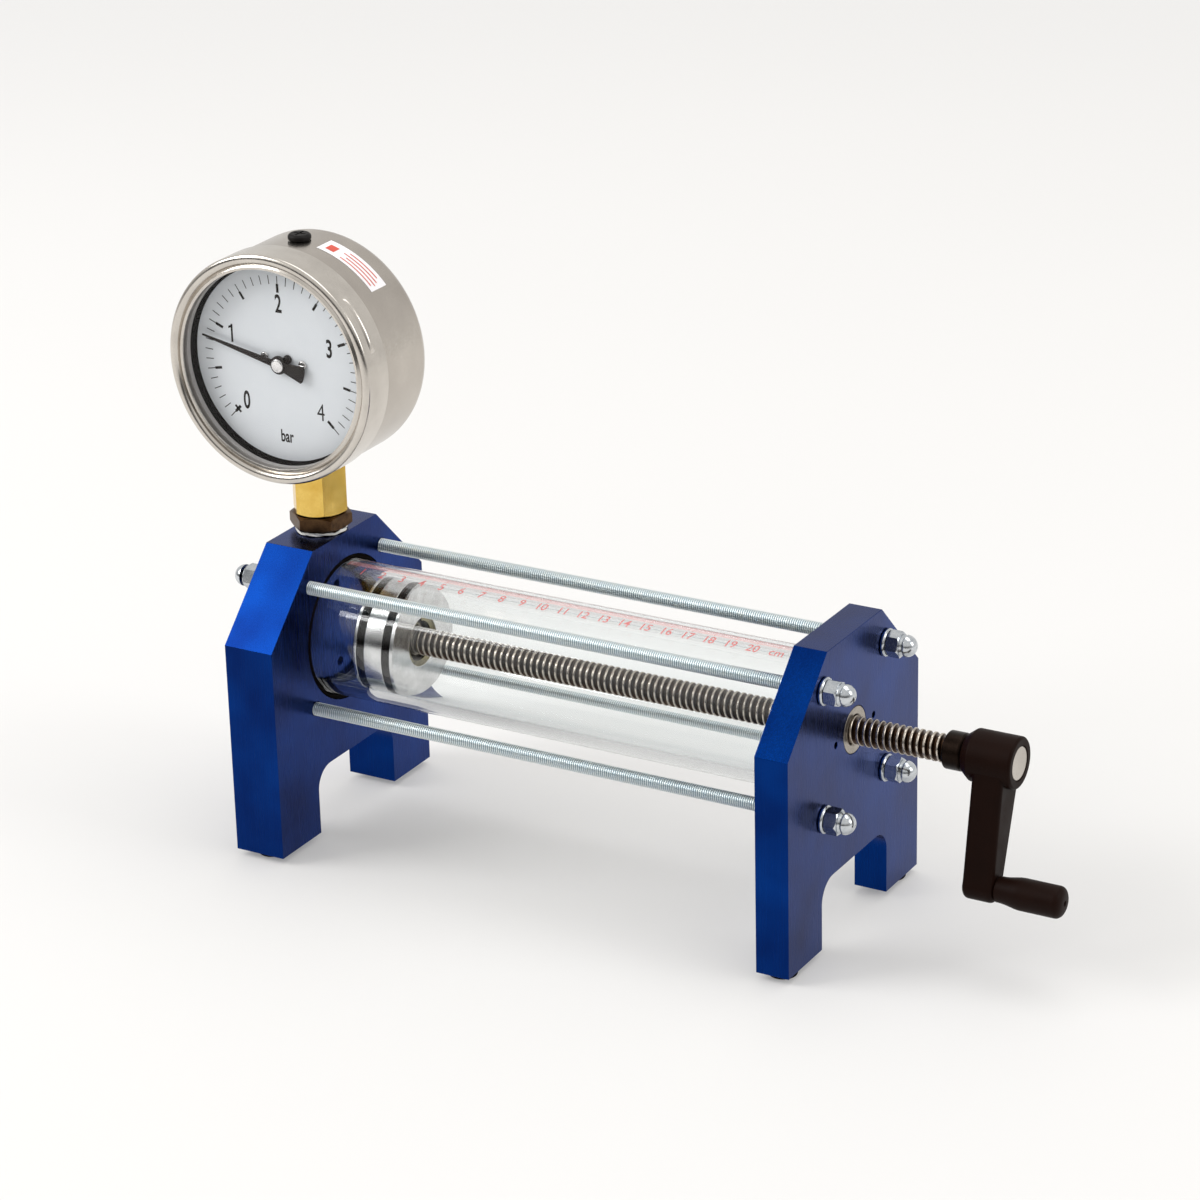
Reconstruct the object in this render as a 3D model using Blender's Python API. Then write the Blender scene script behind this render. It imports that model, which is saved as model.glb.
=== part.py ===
"""Gas-law bench pump: a hand crank turns a spindle that drives a piston along a clear cylinder, and a
pressure gauge on the end plate reads what the trapped air does.

Metres, +Z up. +X runs along the cylinder from the gauge to the crank, and the dial faces -Y. The origin
is under the middle of the whole apparatus, at the level of the surface that the feet stand on.
"""

import math

import bmesh
import bpy
from mathutils import Matrix, Vector

GAP = 0.0003

# Plates. X is worked out from the gauge plate's inner face, and Z from the surface under the feet.
FOOT_HEIGHT = 0.003
PLATE_WIDTH = 0.120
PLATE_HEIGHT = 0.131
PLATE_CHAMFER = 0.035
GAUGE_PLATE_THICKNESS = 0.024
CRANK_PLATE_THICKNESS = 0.015
PLATE_SPAN = 0.231
ARCH_WIDTH = 0.060
ARCH_HEIGHT = 0.030
ARCH_CORNER = 0.010
AXIS_HEIGHT = FOOT_HEIGHT + 0.087
FOOT_INSET = 0.0095
FOOT_STUD = 0.002
FOOT_STUD_TOP = 0.008

# Cylinder, its seals and the measuring strip along its top.
TUBE_OUTER = 0.030
TUBE_INNER = 0.025
RECESS_DEPTH = 0.0047
RECESS_RADIUS = 0.0325
SEAL_FLANGE = 0.0012
SEAL_INNER = 0.0253
FILM_THICKNESS = 0.0002
FILM_FROM_TOP = (-20.0, 12.0)
FILM_END_CLEARANCE = 0.0015

# Tie rods and their fasteners.
ROD_CIRCLE = 0.040
ROD_RADIUS = 0.003
ROD_HOLE = 0.0033
WASHER_RADIUS = 0.006
WASHER_THICKNESS = 0.0016
NUT_ACROSS_FLATS = 0.010
NUT_HEX_HEIGHT = 0.0055
NUT_HEIGHT = 0.012
NUT_DOME_RADIUS = 0.00475
ROD_PAST_PLATE = WASHER_THICKNESS + 0.0080

# Piston and the bearing that joins it to the spindle.
PISTON_START = 0.0191
PISTON_LENGTH = 0.0199
PISTON_RADIUS = 0.0246
O_RING_PLACES = (0.0034, 0.0162)
O_RING_OUTER = 0.0247
GROOVE_WIDTH = 0.0039
GROOVE_FLOOR = 0.0216
BEARING_OUTER = 0.0107
BEARING_WIDTH = 0.007
BEARING_POCKET = 0.011
JOURNAL_RADIUS = 0.004
POCKET_DEPTH = 0.010
RELIEF_DEPTH = 0.0045
RELIEF_RADIUS = 0.0075
OUTER_RACE = 0.0090
INNER_RACE = 0.0064
CLIP_GROOVE = 0.0118
CLIP_INNER = 0.0088

# Spindle and crank.
SPINDLE_RADIUS = 0.006
EXPOSED_SPINDLE = 0.0421
LEAD_NUT_RADIUS = 0.010
LEAD_NUT_FLANGE = 0.014
VENT_SPACING = 0.0173
VENT_RADIUS = 0.0015
BUSHING_RADIUS = 0.008
BUSHING_LENGTH = 0.0085
HUB_RADIUS = 0.011
HUB_LENGTH = 0.023
HUB_BORE = 0.0048
ARM_START = 0.0062
ARM_THICKNESS = 0.0136
ARM_HALF_WIDTH = (0.0098, 0.0060)
ARM_END_RADIUS = 0.0063
CRANK_RADIUS = 0.0523
CRANK_ANGLE = math.radians(14.5)
CAP_RADIUS = 0.007
GRIP_LENGTH = 0.0295
GRIP_RADII = (0.0054, 0.00675)
PIN_RADIUS = 0.003

# Gauge. Its own places are measured from the dial's centre: X right, Y back, Z up.
GAUGE_HEIGHT = FOOT_HEIGHT + 0.2134
BEZEL_RADIUS = 0.0505
CASE_RADIUS = 0.0496
CASE_NECK_RADIUS = 0.0486
CASE_INNER = 0.0472
GAUGE_FRONT = -0.034
GAUGE_BACK = 0.0155
DIAL_RADIUS = 0.0432
DIAL_FACE = -0.0234
POINTER_READING = math.radians(-77.6)
SOCKET_FLATS = 0.022
REDUCER_FLATS = 0.024
PORT_RADIUS = 0.0102
PORT_DEPTH = 0.0095
AIR_WAY = 0.003
AIR_HOLE_HEIGHT = 0.018
AIR_HOLE_RADIUS = 0.0022
WINDOW_OPENING = 0.0445
WINDOW_RADIUS = 0.0484
GASKET_INNER = 0.0439

# Gauge movement: the sector turns the pinion nine to one.
PINION_TEETH = 8
SECTOR_TEETH = 72
TOOTH_MODULE = 0.0005
TOOTH_BELOW_PITCH = 0.00065
TOOTH_ABOVE_PITCH = 0.00045
PINION_PITCH = TOOTH_MODULE * PINION_TEETH / 2
SECTOR_PITCH = TOOTH_MODULE * SECTOR_TEETH / 2
TAIL_LENGTH = 0.009
TAIL_ANGLE = math.radians(250)
BOURDON_RADIUS = 0.034
TIP_ANGLE = math.radians(-22)
PIVOT_RADIUS = 0.001
LINK_PIN = 0.0008

# The gauge's left edge and the grip's end are the two ends of the apparatus.
GAUGE_OFFSET = -GAUGE_PLATE_THICKNESS / 2
CRANK_FACE = PLATE_SPAN + CRANK_PLATE_THICKNESS
BUSHING_START = CRANK_FACE + EXPOSED_SPINDLE
HUB_START = BUSHING_START + BUSHING_LENGTH
ARM_FACE = HUB_START + ARM_START + ARM_THICKNESS
GRIP_END = ARM_FACE + GRIP_LENGTH
ORIGIN_X = -(GRIP_END + GAUGE_OFFSET - BEZEL_RADIUS) / 2


def on_axis(along):
    """The point on the cylinder's axis at this distance from the gauge plate's inner face."""
    return Vector((ORIGIN_X + along, 0, AXIS_HEIGHT))


def in_gauge(x, y, z):
    """A point given from the dial's centre."""
    return Vector((ORIGIN_X + GAUGE_OFFSET + x, y, GAUGE_HEIGHT + z))


def polar(radius, angle, centre=(0, 0)):
    return (centre[0] + radius * math.cos(angle), centre[1] + radius * math.sin(angle))


def arc(centre, radius, start, end, steps):
    """Points along an arc, in degrees, with both ends."""
    turn = math.radians(end - start) / steps
    return [polar(radius, math.radians(start) + turn * step, centre) for step in range(steps + 1)]


def clear_scene():
    for item in list(bpy.data.objects):
        bpy.data.objects.remove(item, do_unlink=True)


def make_material(name, colour, roughness, metallic=0.0, alpha=1.0):
    made = bpy.data.materials.new(name)
    made.use_nodes = True
    made.diffuse_color = (*colour, alpha)
    shader = made.node_tree.nodes["Principled BSDF"]
    shader.inputs["Base Color"].default_value = (*colour, 1)
    shader.inputs["Roughness"].default_value = roughness
    shader.inputs["Metallic"].default_value = metallic
    shader.inputs["Alpha"].default_value = alpha
    return made


def finish(bm, name, material, at=(0, 0, 0)):
    """Closes off a mesh: merged, facing out, smooth with sharp edges, and placed."""
    bmesh.ops.remove_doubles(bm, verts=bm.verts, dist=1e-6)
    bmesh.ops.recalc_face_normals(bm, faces=bm.faces)
    mesh = bpy.data.meshes.new(name)
    bm.to_mesh(mesh)
    bm.free()
    mesh.shade_smooth()
    mesh.set_sharp_from_angle(angle=math.radians(35))
    mesh.materials.append(material)
    made = bpy.data.objects.new(name, mesh)
    made.location = at
    bpy.context.scene.collection.objects.link(made)
    return made


AXIS_TURN = {
    "X": Matrix.Identity(4),
    "Y": Matrix.Rotation(math.radians(90), 4, "Z"),
    "Z": Matrix.Rotation(math.radians(-90), 4, "Y"),
}


def sides_for(radius):
    """How many sides stand for a circle of this radius: a hole and its shaft get the same number."""
    for limit, sides in ((0.0025, 10), (0.0065, 16), (0.020, 24), (0.040, 40)):
        if radius <= limit:
            return sides
    return 48


def turned(name, section, material, at=(0, 0, 0), axis="X"):
    """Turns a section of (along, radius) points. One that starts and ends on the axis is solid."""
    segments = sides_for(max(radius for _, radius in section))
    bm = bmesh.new()
    points = [bm.verts.new((along, 0, radius)) for along, radius in section]
    solid = section[0][1] == 0 and section[-1][1] == 0
    pairs = list(zip(points, points[1:]))
    if not solid:
        pairs.append((points[-1], points[0]))
    edges = [bm.edges.new(pair) for pair in pairs]
    bmesh.ops.spin(
        bm, geom=points + edges, axis=(1, 0, 0), angle=math.tau, steps=segments, use_merge=True
    )
    bmesh.ops.transform(bm, matrix=AXIS_TURN[axis], verts=bm.verts)
    return finish(bm, name, material, at)


def rod(name, start, end, radius, material, at=(0, 0, 0), axis="X"):
    return turned(name, [(start, 0), (start, radius), (end, radius), (end, 0)], material, at, axis)


def ring(name, start, end, inner, outer, material, at=(0, 0, 0), axis="X"):
    section = [(start, inner), (start, outer), (end, outer), (end, inner)]
    return turned(name, section, material, at, axis)


def extruded(name, outline, start, end, material, at=(0, 0, 0), axis="X"):
    """Extrudes an outline along an axis. It is (y, z) for X, (x, z) for Y and (x, y) for Z."""
    bm = bmesh.new()
    place = {
        "X": lambda a, b: (start, a, b),
        "Y": lambda a, b: (a, start, b),
        "Z": lambda a, b: (a, b, start),
    }[axis]
    face = bm.faces.new([bm.verts.new(place(a, b)) for a, b in outline])
    grown = bmesh.ops.extrude_face_region(bm, geom=[face])
    moved = [item for item in grown["geom"] if isinstance(item, bmesh.types.BMVert)]
    step = {"X": (1, 0, 0), "Y": (0, 1, 0), "Z": (0, 0, 1)}[axis]
    bmesh.ops.translate(bm, vec=Vector(step) * (end - start), verts=moved)
    return finish(bm, name, material, at)


def boolean(target, other, operation):
    """Cuts or joins with another object, which then stays in the file as a hidden helper."""
    modifier = target.modifiers.new(other.name, "BOOLEAN")
    modifier.operation = operation
    modifier.object = other
    modifier.solver = "EXACT"
    other.hide_render = True
    other.display_type = "WIRE"
    return target


def cut(target, *cutters):
    for cutter in cutters:
        boolean(target, cutter, "DIFFERENCE")
    return target


def join(target, *others):
    for other in others:
        boolean(target, other, "UNION")
    return target


def soften(target, width, segments=2):
    """Rounds the edges that are sharper than 30 degrees."""
    bevel = target.modifiers.new("edges", "BEVEL")
    bevel.width = width
    bevel.segments = segments
    bevel.limit_method = "ANGLE"
    bevel.angle_limit = math.radians(30)
    return target


def hexagon(across_flats, first_corner):
    corner = across_flats / math.sqrt(3)
    return [polar(corner, math.radians(first_corner + 60 * side)) for side in range(6)]


ANODISED = make_material("blue_anodised_aluminium", (0.013, 0.075, 0.36), 0.35, 0.85)
ACRYLIC = make_material("clear_acrylic", (0.92, 0.95, 0.95), 0.05, 0.0, 0.3)
PRINT_FILM = make_material("printed_film", (0.9, 0.35, 0.35), 0.3, 0.0, 0.6)
ZINC = make_material("zinc_plated_steel", (0.62, 0.65, 0.66), 0.3, 1.0)
STEEL = make_material("ground_steel", (0.5, 0.48, 0.45), 0.3, 1.0)
PISTON_METAL = make_material("turned_aluminium", (0.8, 0.8, 0.8), 0.25, 1.0)
BLACK_RUBBER = make_material("black_rubber", (0.012, 0.012, 0.013), 0.6)
DARK_STEEL = make_material("blackened_steel", (0.03, 0.028, 0.026), 0.4, 0.8)
CRANK_PLASTIC = make_material("dark_phenolic", (0.05, 0.035, 0.028), 0.4)
STAINLESS = make_material("stainless_steel", (0.6, 0.57, 0.54), 0.3, 1.0)
GLASS = make_material("instrument_glass", (0.95, 0.97, 0.97), 0.03, 0.0, 0.2)
DIAL_WHITE = make_material("white_dial", (0.85, 0.86, 0.86), 0.45)
BRASS = make_material("brass", (0.75, 0.55, 0.22), 0.3, 1.0)
BRONZE = make_material("dark_bronze", (0.2, 0.15, 0.09), 0.4, 1.0)
PTFE = make_material("ptfe_tape", (0.88, 0.88, 0.86), 0.6)
POINTER_BLACK = make_material("pointer_black", (0.02, 0.02, 0.02), 0.4)


def plate_outline():
    """The plate from the end, as (y, z) from the middle of its bottom edge: legs, arch, chamfers."""
    half = PLATE_WIDTH / 2
    arch = ARCH_WIDTH / 2
    corner = arch - ARCH_CORNER
    spring = ARCH_HEIGHT - ARCH_CORNER
    return (
        [(-half, 0), (-arch, 0)]
        + arc((-corner, spring), ARCH_CORNER, 180, 90, 6)
        + arc((corner, spring), ARCH_CORNER, 90, 0, 6)
        + [(arch, 0), (half, 0), (half, PLATE_HEIGHT - PLATE_CHAMFER)]
        + [(half - PLATE_CHAMFER, PLATE_HEIGHT), (PLATE_CHAMFER - half, PLATE_HEIGHT)]
        + [(-half, PLATE_HEIGHT - PLATE_CHAMFER)]
    )


def rod_places():
    """The four tie rods, as (y, z) from the cylinder's axis."""
    return [polar(ROD_CIRCLE, math.radians(45 + 90 * corner)) for corner in range(4)]


def foot_places(middle):
    """The two feet of a plate whose middle is this far along, one under each leg."""
    out = PLATE_WIDTH / 2 - FOOT_INSET
    return [Vector((ORIGIN_X + middle, side * out, 0)) for side in (-1, 1)]


def make_plate(name, start, thickness):
    """A plate with the holes that both share: four for the tie rods and two for the feet's studs."""
    at = Vector((ORIGIN_X, 0, FOOT_HEIGHT))
    plate = extruded(name, plate_outline(), start, start + thickness, ANODISED, at)
    for number, (y, z) in enumerate(rod_places(), 1):
        place = on_axis(start) + Vector((0, y, z))
        hole = rod(f"{name}_rod_hole_{number}", -0.01, thickness + 0.01, ROD_HOLE, ANODISED, place)
        cut(plate, hole)
    for number, place in enumerate(foot_places(start + thickness / 2), 1):
        depth = FOOT_STUD_TOP + 0.0005
        hole = rod(f"{name}_foot_hole_{number}", 0, depth, FOOT_STUD + GAP, ANODISED, place, "Z")
        cut(plate, hole)
    return plate


def gauge_plate():
    plate = make_plate("gauge_plate", -GAUGE_PLATE_THICKNESS, GAUGE_PLATE_THICKNESS)
    recess = rod("gauge_plate_recess", -RECESS_DEPTH, 0.01, RECESS_RADIUS, ANODISED, on_axis(0))
    middle = on_axis(GAUGE_OFFSET)
    plate_top = FOOT_HEIGHT + PLATE_HEIGHT - AXIS_HEIGHT
    port_floor = plate_top - PORT_DEPTH
    port = rod("gauge_port", port_floor, plate_top + 0.01, PORT_RADIUS + GAP, ANODISED, middle, "Z")
    drilling = rod("gauge_drilling", AIR_HOLE_HEIGHT, plate_top, AIR_WAY, ANODISED, middle, "Z")
    above = middle + Vector((0, 0, AIR_HOLE_HEIGHT))
    below = middle - Vector((0, 0, AIR_HOLE_HEIGHT))
    upper = rod("upper_air_hole", 0, 0.02, AIR_HOLE_RADIUS, ANODISED, above)
    lower = rod("lower_air_hole", 0, 0.02, AIR_HOLE_RADIUS, ANODISED, below)
    return cut(plate, recess, port, drilling, upper, lower)


def crank_plate():
    plate = make_plate("crank_plate", PLATE_SPAN, CRANK_PLATE_THICKNESS)
    at = on_axis(PLATE_SPAN)
    recess = rod("crank_plate_recess", -0.01, RECESS_DEPTH, RECESS_RADIUS, ANODISED, at)
    nut_hole = rod("lead_nut_hole", 0, 0.02, LEAD_NUT_RADIUS + GAP, ANODISED, at)
    vents = [
        rod(f"vent_hole_{side}", 0, 0.02, VENT_RADIUS, ANODISED, at + Vector((0, y, 0)))
        for side, y in (("near", -VENT_SPACING), ("far", VENT_SPACING))
    ]
    return cut(plate, recess, nut_hole, *vents)


def feet():
    """Tapered rubber feet, each with a stud pressed up into its leg."""
    section = [(0, 0), (0, 0.0055), (FOOT_HEIGHT - GAP, 0.00635)]
    section += [(FOOT_HEIGHT - GAP, FOOT_STUD), (FOOT_STUD_TOP, FOOT_STUD), (FOOT_STUD_TOP, 0)]
    middles = (GAUGE_OFFSET, PLATE_SPAN + CRANK_PLATE_THICKNESS / 2)
    places = [place for middle in middles for place in foot_places(middle)]
    for number, place in enumerate(places, 1):
        turned(f"foot_{number}", section, BLACK_RUBBER, place, "Z")


def cylinder():
    tube_end = RECESS_DEPTH - GAP - SEAL_FLANGE - GAP
    far_end = PLATE_SPAN + tube_end
    ring("cylinder_tube", -tube_end, far_end, TUBE_INNER, TUBE_OUTER, ACRYLIC, on_axis(0))
    seal_outer = RECESS_RADIUS - GAP
    sleeve_inner = TUBE_OUTER + GAP
    deep = RECESS_DEPTH - GAP
    section = [(0, sleeve_inner), (0, seal_outer), (-deep, seal_outer), (-deep, SEAL_INNER)]
    section += [(SEAL_FLANGE - deep, SEAL_INNER), (SEAL_FLANGE - deep, sleeve_inner)]
    turned("gauge_end_seal", section, BLACK_RUBBER, on_axis(0))
    mirrored = [(-along, radius) for along, radius in section]
    turned("crank_end_seal", mirrored, BLACK_RUBBER, on_axis(PLATE_SPAN))


def scale_film():
    """The printed measuring strip: a thin skin bent over the top of the tube."""
    inner = TUBE_OUTER + GAP
    outer = inner + FILM_THICKNESS
    near, far = FILM_FROM_TOP
    outline = arc((0, 0), outer, 90 - near, 90 - far, 12)
    outline += arc((0, 0), inner, 90 - far, 90 - near, 12)
    start = FILM_END_CLEARANCE
    extruded("scale_film", outline, start, PLATE_SPAN - start, PRINT_FILM, on_axis(0))


def cap_nut_section():
    """The turned outline of a cap nut's dome, from the hexagon's top to its crown."""
    base = NUT_HEX_HEIGHT
    straight = NUT_HEIGHT - NUT_DOME_RADIUS
    dome = [(straight + a, r) for r, a in arc((0, 0), NUT_DOME_RADIUS, 0, 90, 4)[:-1]]
    return [(base - 0.001, 0), (base - 0.001, NUT_DOME_RADIUS)] + dome + [(NUT_HEIGHT, 0)]


def tie_rods():
    start = -GAUGE_PLATE_THICKNESS - ROD_PAST_PLATE
    end = CRANK_FACE + ROD_PAST_PLATE
    for number, (y, z) in enumerate(rod_places(), 1):
        place = on_axis(0) + Vector((0, y, z))
        rod(f"tie_rod_{number}", start, end, ROD_RADIUS, ZINC, place)
        for end_name, face, outward in (
            ("gauge", -GAUGE_PLATE_THICKNESS, -1),
            ("crank", CRANK_FACE, 1),
        ):
            inside = face + outward * GAP
            outside = inside + outward * WASHER_THICKNESS
            washer = f"{end_name}_washer_{number}"
            ring(washer, inside, outside, ROD_HOLE, WASHER_RADIUS, ZINC, place)
            seat = place + Vector((outside + outward * GAP, 0, 0))
            cap_nut(f"{end_name}_cap_nut_{number}", seat, outward)


def cap_nut(name, at, outward):
    """A hexagon with a dome, bored for the rod's end. It is drawn facing +X, then turned to face out."""
    nut = extruded(name, hexagon(NUT_ACROSS_FLATS, 0), 0, NUT_HEX_HEIGHT, ZINC)
    dome = turned(f"{name}_dome", cap_nut_section(), ZINC)
    bore_depth = ROD_PAST_PLATE - WASHER_THICKNESS + 0.0004
    bore = rod(f"{name}_bore", -0.002, bore_depth, ROD_HOLE, ZINC)
    join(nut, dome)
    cut(nut, bore)
    for piece in (nut, dome, bore):
        piece.rotation_euler.z = 0 if outward > 0 else math.pi
        piece.location = at


def piston():
    """A turned piston: two ring grooves round it, and at the back a pocket for the bearing."""
    end = PISTON_LENGTH
    pocket = end - POCKET_DEPTH
    relief = pocket - RELIEF_DEPTH
    section = [(0, 0), (0, PISTON_RADIUS)]
    for place in O_RING_PLACES:
        near = place - GROOVE_WIDTH / 2
        far = place + GROOVE_WIDTH / 2
        section += [(near, PISTON_RADIUS), (near, GROOVE_FLOOR)]
        section += [(far, GROOVE_FLOOR), (far, PISTON_RADIUS)]
    clip_near = pocket + GAP + BEARING_WIDTH + GAP / 2
    clip_far = clip_near + 0.0014
    section += [(end, PISTON_RADIUS), (end, BEARING_POCKET)]
    section += [(clip_far, BEARING_POCKET), (clip_far, CLIP_GROOVE), (clip_near, CLIP_GROOVE)]
    section += [(clip_near, BEARING_POCKET), (pocket, BEARING_POCKET)]
    section += [(pocket, RELIEF_RADIUS), (relief, RELIEF_RADIUS), (relief, 0)]
    at = on_axis(PISTON_START)
    turned("piston", section, PISTON_METAL, at)
    half = GROOVE_WIDTH / 2 - GAP
    middle = (GROOVE_FLOOR + GAP + O_RING_OUTER) / 2
    tall = O_RING_OUTER - middle
    for name, place in zip(("front_o_ring", "rear_o_ring"), O_RING_PLACES):
        bulge = [
            (place + half * math.cos(turn), middle + tall * math.sin(turn))
            for turn in (math.tau * step / 8 for step in range(8))
        ]
        turned(name, bulge, BLACK_RUBBER, at)
    bearing = pocket + GAP
    bearing_end = bearing + BEARING_WIDTH
    ring("bearing_outer_ring", bearing, bearing_end, OUTER_RACE, BEARING_OUTER, STEEL, at)
    clip = (clip_near + GAP / 3, clip_far - GAP / 3, CLIP_INNER, CLIP_GROOVE - GAP)
    ring("bearing_retaining_clip", *clip, BRASS, at)


def spindle():
    """The lead screw at its outside diameter, with a journal for the bearing and a stem for the crank."""
    pocket = PISTON_START + PISTON_LENGTH - POCKET_DEPTH
    bearing = pocket + GAP
    bearing_end = bearing + BEARING_WIDTH
    shoulder = bearing_end + GAP
    journal_start = pocket - 0.003
    stem_end = HUB_START + HUB_LENGTH - 0.0016
    section = [(journal_start, 0), (journal_start, JOURNAL_RADIUS), (shoulder, JOURNAL_RADIUS)]
    section += [(shoulder, SPINDLE_RADIUS), (BUSHING_START - GAP, SPINDLE_RADIUS)]
    section += [(BUSHING_START - GAP, HUB_BORE - GAP), (stem_end, HUB_BORE - GAP), (stem_end, 0)]
    turned("spindle", section, STEEL, on_axis(0))
    bore = JOURNAL_RADIUS + GAP
    ring("bearing_inner_ring", bearing, bearing_end, bore, INNER_RACE, STEEL, on_axis(0))
    clip = (pocket - 0.0018, pocket - 0.0002, bore, INNER_RACE)
    ring("spindle_end_clip", *clip, DARK_STEEL, on_axis(0))
    floor = PLATE_SPAN + RECESS_DEPTH - GAP
    nut_bore = SPINDLE_RADIUS + GAP
    section = [(floor - 0.002, nut_bore), (floor - 0.002, LEAD_NUT_FLANGE), (floor, LEAD_NUT_FLANGE)]
    section += [(floor, LEAD_NUT_RADIUS), (CRANK_FACE, LEAD_NUT_RADIUS), (CRANK_FACE, nut_bore)]
    turned("lead_nut", section, STEEL, on_axis(0))


def arm_outline():
    """The arm along its own length: it narrows from the hub to a round end about the grip's axis."""
    wide, narrow = ARM_HALF_WIDTH
    straight_end = CRANK_RADIUS - 0.002
    round_end = arc((0, -CRANK_RADIUS), ARM_END_RADIUS, -10, -170, 10)
    return [(wide, 0), (narrow, -straight_end)] + round_end + [(-narrow, -straight_end), (-wide, 0)]


def crank():
    """The crank hangs from the hub at a small angle, with a revolving grip at its end."""
    bushing_end = BUSHING_LENGTH - GAP
    section = [(0, HUB_BORE), (0, BUSHING_RADIUS), (BUSHING_LENGTH - 0.0012, BUSHING_RADIUS)]
    section += [(bushing_end, BUSHING_RADIUS - 0.0009), (bushing_end, HUB_BORE)]
    turned("crank_bushing", section, DARK_STEEL, on_axis(BUSHING_START))

    cone = 0.0036
    face = HUB_LENGTH
    section = [(0, 0), (0, BUSHING_RADIUS + 0.0002), (cone, HUB_RADIUS)]
    section += [(face - 0.0008, HUB_RADIUS), (face, HUB_RADIUS - 0.0008), (face, 0)]
    hub_at = on_axis(HUB_START)
    hub = turned("crank_arm", section, CRANK_PLASTIC, hub_at)
    arm_end = ARM_START + ARM_THICKNESS
    arm = extruded("arm_blank", arm_outline(), ARM_START, arm_end, CRANK_PLASTIC, hub_at)
    soften(arm, 0.0015, 1)
    bore = rod("arm_bore", -0.01, 0.04, HUB_BORE, CRANK_PLASTIC, hub_at)
    cap_seat = rod("cap_seat", face - 0.0013, 0.04, CAP_RADIUS + GAP, CRANK_PLASTIC, hub_at)
    join(hub, arm)
    cut(hub, bore, cap_seat)
    for piece in (hub, arm, bore, cap_seat):
        piece.rotation_euler.x = -CRANK_ANGLE

    rod("hub_cap", face - 0.0010, face - 0.0002, CAP_RADIUS, STEEL, hub_at)

    grip_axis = Vector((0, -math.sin(CRANK_ANGLE), -math.cos(CRANK_ANGLE))) * CRANK_RADIUS
    grip_at = on_axis(ARM_FACE) + grip_axis
    pin_hole = rod("pin_hole", -0.010, 0.01, PIN_RADIUS + GAP, CRANK_PLASTIC, grip_at)
    cut(hub, pin_hole)
    rod("grip_pin", -0.0097, 0.0230, PIN_RADIUS, STEEL, grip_at)

    thin, thick = GRIP_RADII
    dome_start = GRIP_LENGTH - 0.003
    dome = [
        (dome_start + 0.003 * math.sin(turn), thick * math.cos(turn) ** 0.7)
        for turn in (math.radians(angle) for angle in (30, 60))
    ]
    section = [(GAP, PIN_RADIUS + GAP), (GAP, thin), (0.0016, thin)]
    section += [(0.0050, thin + 0.0003), (0.0108, thick), (dome_start, thick)]
    section += dome + [(GRIP_LENGTH, 0.0018), (GRIP_LENGTH - 0.0006, 0)]
    section += [(0.0235, 0), (0.0235, PIN_RADIUS + GAP)]
    turned("crank_grip", section, CRANK_PLASTIC, grip_at)


def gauge_case():
    """A deep-drawn cup with a rounded back, open to the dial, with holes for socket and vent plug."""
    back = GAUGE_BACK
    rounding = 0.006
    seat = -0.0182
    corner = arc((back - rounding, CASE_RADIUS - rounding), rounding, 0, 90, 3)
    inner_back = back - 0.002
    section = [(back, 0)] + corner
    section += [(seat, CASE_RADIUS), (seat, CASE_NECK_RADIUS), (-0.028, CASE_NECK_RADIUS)]
    section += [(-0.028, CASE_INNER), (back - rounding, CASE_INNER), (inner_back, CASE_INNER - 0.004)]
    section += [(inner_back, 0)]
    case = turned("gauge_case", section, STAINLESS, in_gauge(0, 0, 0), "Y")
    socket_hole = rod("socket_hole", -0.06, -0.03, 0.0083, STAINLESS, in_gauge(0, 0, 0), "Z")
    vent_hole = rod("vent_plug_hole", 0.03, 0.06, 0.0043, STAINLESS, in_gauge(0, -0.005, 0), "Z")
    cut(case, socket_hole, vent_hole)


def bezel_and_window():
    front = GAUGE_FRONT
    skirt_end = -0.0185
    skirt_inner = CASE_NECK_RADIUS + GAP
    lip = front + 0.0017
    section = [(front, WINDOW_OPENING), (front, 0.0488), (front + 0.0005, 0.0499)]
    section += [(front + 0.0016, BEZEL_RADIUS), (skirt_end, BEZEL_RADIUS)]
    section += [(skirt_end, skirt_inner), (lip, skirt_inner), (lip, WINDOW_OPENING)]
    at = in_gauge(0, 0, 0)
    turned("bezel_ring", section, STAINLESS, at, "Y")
    rod("gauge_window", lip + GAP, lip + GAP + 0.0020, WINDOW_RADIUS, GLASS, at, "Y")
    outer = CASE_INNER - GAP
    section = [(-0.0297, GASKET_INNER), (-0.0297, WINDOW_RADIUS), (-0.0283, WINDOW_RADIUS)]
    section += [(-0.0283, outer), (-0.0210, outer), (-0.0210, GASKET_INNER)]
    turned("window_gasket", section, BLACK_RUBBER, at, "Y")
    ring("gauge_dial", DIAL_FACE, DIAL_FACE + 0.0008, 0.0030, DIAL_RADIUS, DIAL_WHITE, at, "Y")


def vent_plug():
    """A rubber plug in the top of the case, with a flat head outside and a stem inside."""
    top = CASE_RADIUS
    section = [(top + 0.0028, 0), (top + 0.0028, 0.0042)]
    section += [(top + 0.0020, 0.0050), (top + GAP, 0.0050)]
    section += [(top + GAP, 0.0040), (top - 0.0040, 0.0040), (top - 0.0040, 0)]
    turned("vent_plug", section, BLACK_RUBBER, in_gauge(0, -0.005, 0), "Z")


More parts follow.
